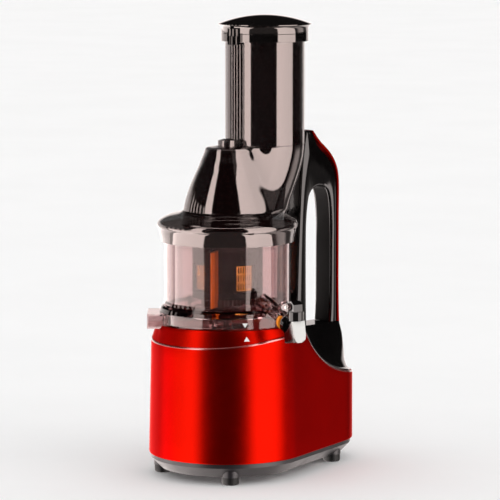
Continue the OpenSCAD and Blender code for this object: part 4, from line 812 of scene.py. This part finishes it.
def hopper_outside():
    """Rings up the outside, from the collar's foot to the tube's rim."""
    rings = [(circle_ring(0, r), z) for r, z in collar_side]
    for r, up in cone_foot_out:
        z = bowl_rim_z + up
        back, neck_r = neck_at(z)
        neck_r -= 3.0 * (1 - smooth(up, 9.5, 15))
        rings.append((outline((0, r), (back, neck_r), mix(5, 22, smooth(up, 11, CONE_FROM))), z))
    z = bowl_rim_z + CONE_FROM
    while z < cone_top_z - RING_STEP:
        rings.append((outline((0, cone_r(z)), neck_at(z), throat_fillet(z)), z))
        z += RING_STEP
    for inwards, down in cone_edge:
        z = cone_top_z - down
        fillet = mix(50, 0.6, inwards / cone_edge[-1][0])
        rings.append((outline((0, cone_r(z) - inwards), neck_at(z), fillet), z))
    # A small fillet at the tube's foot, then the tube
    rings += [(circle_ring(tube_back, tube_r + 1.0), cone_top_z + 0.02),
              (circle_ring(tube_back, tube_r + 0.3), cone_top_z + 0.4)]
    rings += [(circle_ring(tube_back, tube_r), z)
              for z in (cone_top_z + 1.4, *tube_levels, tube_top_z - 0.4)]
    rings.append((circle_ring(tube_back, tube_r - 0.5), tube_top_z))
    return rings


def hopper_inside():
    """Rings down the inside, from the tube's rim to the collar's foot."""
    bore_r = tube_r - hopper_wall
    rings = [(circle_ring(tube_back, bore_r + 0.5), tube_top_z)]
    rings += [(circle_ring(tube_back, bore_r), z)
              for z in (tube_top_z - 0.5, *reversed(tube_levels), cone_top_z + 1)]
    # The roof over the cone's hollow
    z = cone_top_z - hopper_wall
    rings += [(outline((0, 12.0), (tube_back, bore_r), 0.5), z),
              (outline((0, cone_r(z) - hopper_wall - 1.0), (tube_back, bore_r), 1), z - 0.05)]
    z -= 0.9
    while z > bowl_rim_z + 16:
        back, neck_r = neck_at(z)
        rings.append((outline((0, cone_r(z) - hopper_wall), (back, neck_r - hopper_wall), 5), z))
        z -= RING_STEP
    for r, up in cone_foot_in:
        z = bowl_rim_z + up
        back, neck_r = neck_at(z)
        neck_r = mix(neck_r - hopper_wall, 20, smooth(14 - up, 0, 8))
        rings.append((outline((0, r), (back, neck_r), 4), z))
    # The throat's lip, the shoulder that rests on the seal, and the collar's inside
    rings += [(circle_ring(0, r), z) for r, z in (
        (47.5, shoulder_z + 0.9), (48, shoulder_z), (collar_in_r - 0.5, shoulder_z),
        (collar_in_r, shoulder_z - 0.6), (collar_in_r, collar_foot_z + 0.3))]
    return rings


def hopper():
    rings = [[(x, y, z) for x, y in points] for points, z in hopper_outside() + hopper_inside()]
    v, f = loop_mesh(rings)
    piece("hopper_body", v, f, "hopper_set", "smoky_clear", ["hopper"], crease=38)

    funnel = [[funnel_r, strainer_top_z - 4], [funnel_r + 2.2, strainer_top_z - 4],
              [funnel_r + 2.2, strainer_top_z + 3], [50.0, shoulder_z + 0.3],
              [46.5, shoulder_z + 0.3], [funnel_r, strainer_top_z + 3]]
    v, f = loop_mesh(turned(rounded(funnel, [0.5, 0.5, 1, 0.4, 0.4, 1]), 144), flip=True)
    piece("hopper_funnel", v, f, "hopper_set", "smoky_clear")

    for k in range(TABS):
        a = FIRST_TAB_A + 360 / TABS * k
        ring_stretch("hopper_tab_%d" % k, bowl_r + 0.5, collar_in_r + 0.2, a - TAB_HALF_A,
                     a + TAB_HALF_A, bowl_rim_z - 12.4, 3, "hopper_set", "smoky_clear")


# ---------------------------------------------------------------- auger
auger_foot_z = end_of("auger", LOW, Z)
auger_body_z = strainer_top_z                           # above it core and flight taper
flight_r = end_of("auger", HIGH, X)
auger_turns = 2.1
auger_bore = 14.6
bore_top_z = end_of("auger_gear", HIGH, Z) + 0.2
core_foot_r, core_body_r, core_top_r, flight_top_r = 24, 26, 8, 14.5
CREST_SPREAD = 24                                       # degrees over which the flight falls off
AUGER_SIDES, AUGER_ROWS = 120, 170


def auger_core(z):
    """Radius of the core."""
    if z < auger_body_z:
        return mix(core_foot_r, core_body_r, (z - auger_foot_z) / (auger_body_z - auger_foot_z))
    taper = ((z - auger_body_z) / (auger_top_z - auger_body_z)) ** 0.85
    return mix(core_body_r, core_top_r, taper)


def auger_reach(z):
    """Radius of the flight's crest."""
    if z < auger_body_z:
        return flight_r
    taper = ((z - auger_body_z) / (auger_top_z - auger_body_z)) ** 1.15
    return mix(flight_r, flight_top_r, taper)


def crest(a):
    """1 on the flight, which is centred at direction 0, and 0 on the core."""
    d = abs((a % 360 + 540) % 360 - 180)
    return smooth(1.45 - d / CREST_SPREAD, 0, 1)


def auger():
    sides = [j * 360 / AUGER_SIDES for j in range(AUGER_SIDES)]
    rings = [[(auger_bore * cosd(-a), auger_bore * sind(-a), z) for a in sides]
             for z in (bore_top_z, auger_foot_z)]
    for i in range(AUGER_ROWS + 1):
        t = i / AUGER_ROWS
        z = mix(auger_foot_z, auger_top_z, t)
        lead = t * auger_turns * 360
        ring = []
        for a in sides:
            r = mix(auger_core(z), auger_reach(z), crest(a))
            ring.append((r * cosd(lead - a), r * sind(lead - a), z))
        rings.append(ring)
    v, f = loop_mesh(rings, False)
    piece("auger_screw", v, f, "auger_set", "auger_dark", ["auger"], crease=50)


base_shell()
handle_frame()
handle_cover()
handle_saddle()
hopper()
auger()

# ---------------------------------------------------------------- the solids that show as they are
# Nodes whose finish isn't the one that their slot names
LOOK = {"bowl": "bowl_clear", "lid": "black_lid", "chute_ring": "black_lid",
        "lid_latch": "black_lid", "bearing_knob": "smoky_clear"}
# Width of the bevel that softens a node's edges
BEVEL = {
    "chute_ring": 0.35, "lid": 0.35, "lid_latch": 0.25, "bearing_knob": 0.4, "cap_lever": 0.35,
    "cap_tongue": 0.2, "cap_plug": 0.3, "hopper_seal": 0.2, "switch_bezel": 0.25,
    "switch_rocker": 0.25, "feet": 0.3, "bottom_plate": 0.4, "cord_gland": 0.3, "wipers": 0.2,
    "brush_frame": 0.25, "strainer_frame": 0.3, "spout_seal": 0.2, "pulp_flap": 0.2}
# The other nodes are smooth up to this angle; the clear bowl's wall needs truly level normals
SPLIT_ANGLE, BOWL_SPLIT_ANGLE = 30, 8.5
BEVEL_ANGLE = 38
WELD_M = 2e-6


def dress(name, o):
    """Give a node its finish and smooth shading; its vertices stay as they are."""
    me = o.data
    for stored in ("custom_normal", "sharp_edge"):
        if stored in me.attributes:
            me.attributes.remove(me.attributes[stored])
    me.shade_smooth()
    weld = o.modifiers.new("weld", "WELD")
    weld.merge_threshold = WELD_M
    if name in BEVEL:
        bevel = o.modifiers.new("bevel", "BEVEL")
        bevel.limit_method = "ANGLE"
        bevel.angle_limit = math.radians(BEVEL_ANGLE)
        bevel.width = BEVEL[name] * MM
        bevel.segments = 2
        bevel.harden_normals = True
    else:
        split = o.modifiers.new("split", "EDGE_SPLIT")
        split.split_angle = math.radians(BOWL_SPLIT_ANGLE if name == "bowl" else SPLIT_ANGLE)
    me.materials.clear()
    me.materials.append(FINISH[LOOK.get(name, slot_of[name])])


for node_name, node in nodes.items():
    dress(node_name, node)

# ---------------------------------------------------------------- floor
FLOOR_HALF_M = 30.0
corners = [(x * FLOOR_HALF_M, y * FLOOR_HALF_M, 0) for x, y in ((-1, -1), (1, -1), (1, 1), (-1, 1))]
floor_mesh = bpy.data.meshes.new("floor")
floor_mesh.from_pydata(corners, [], [(0, 1, 2, 3)])
floor_mesh.materials.append(FINISH["floor_pale"])
floor = bpy.data.objects.new("floor", floor_mesh)
bpy.context.scene.collection.objects.link(floor)
floor.visible_glossy = False
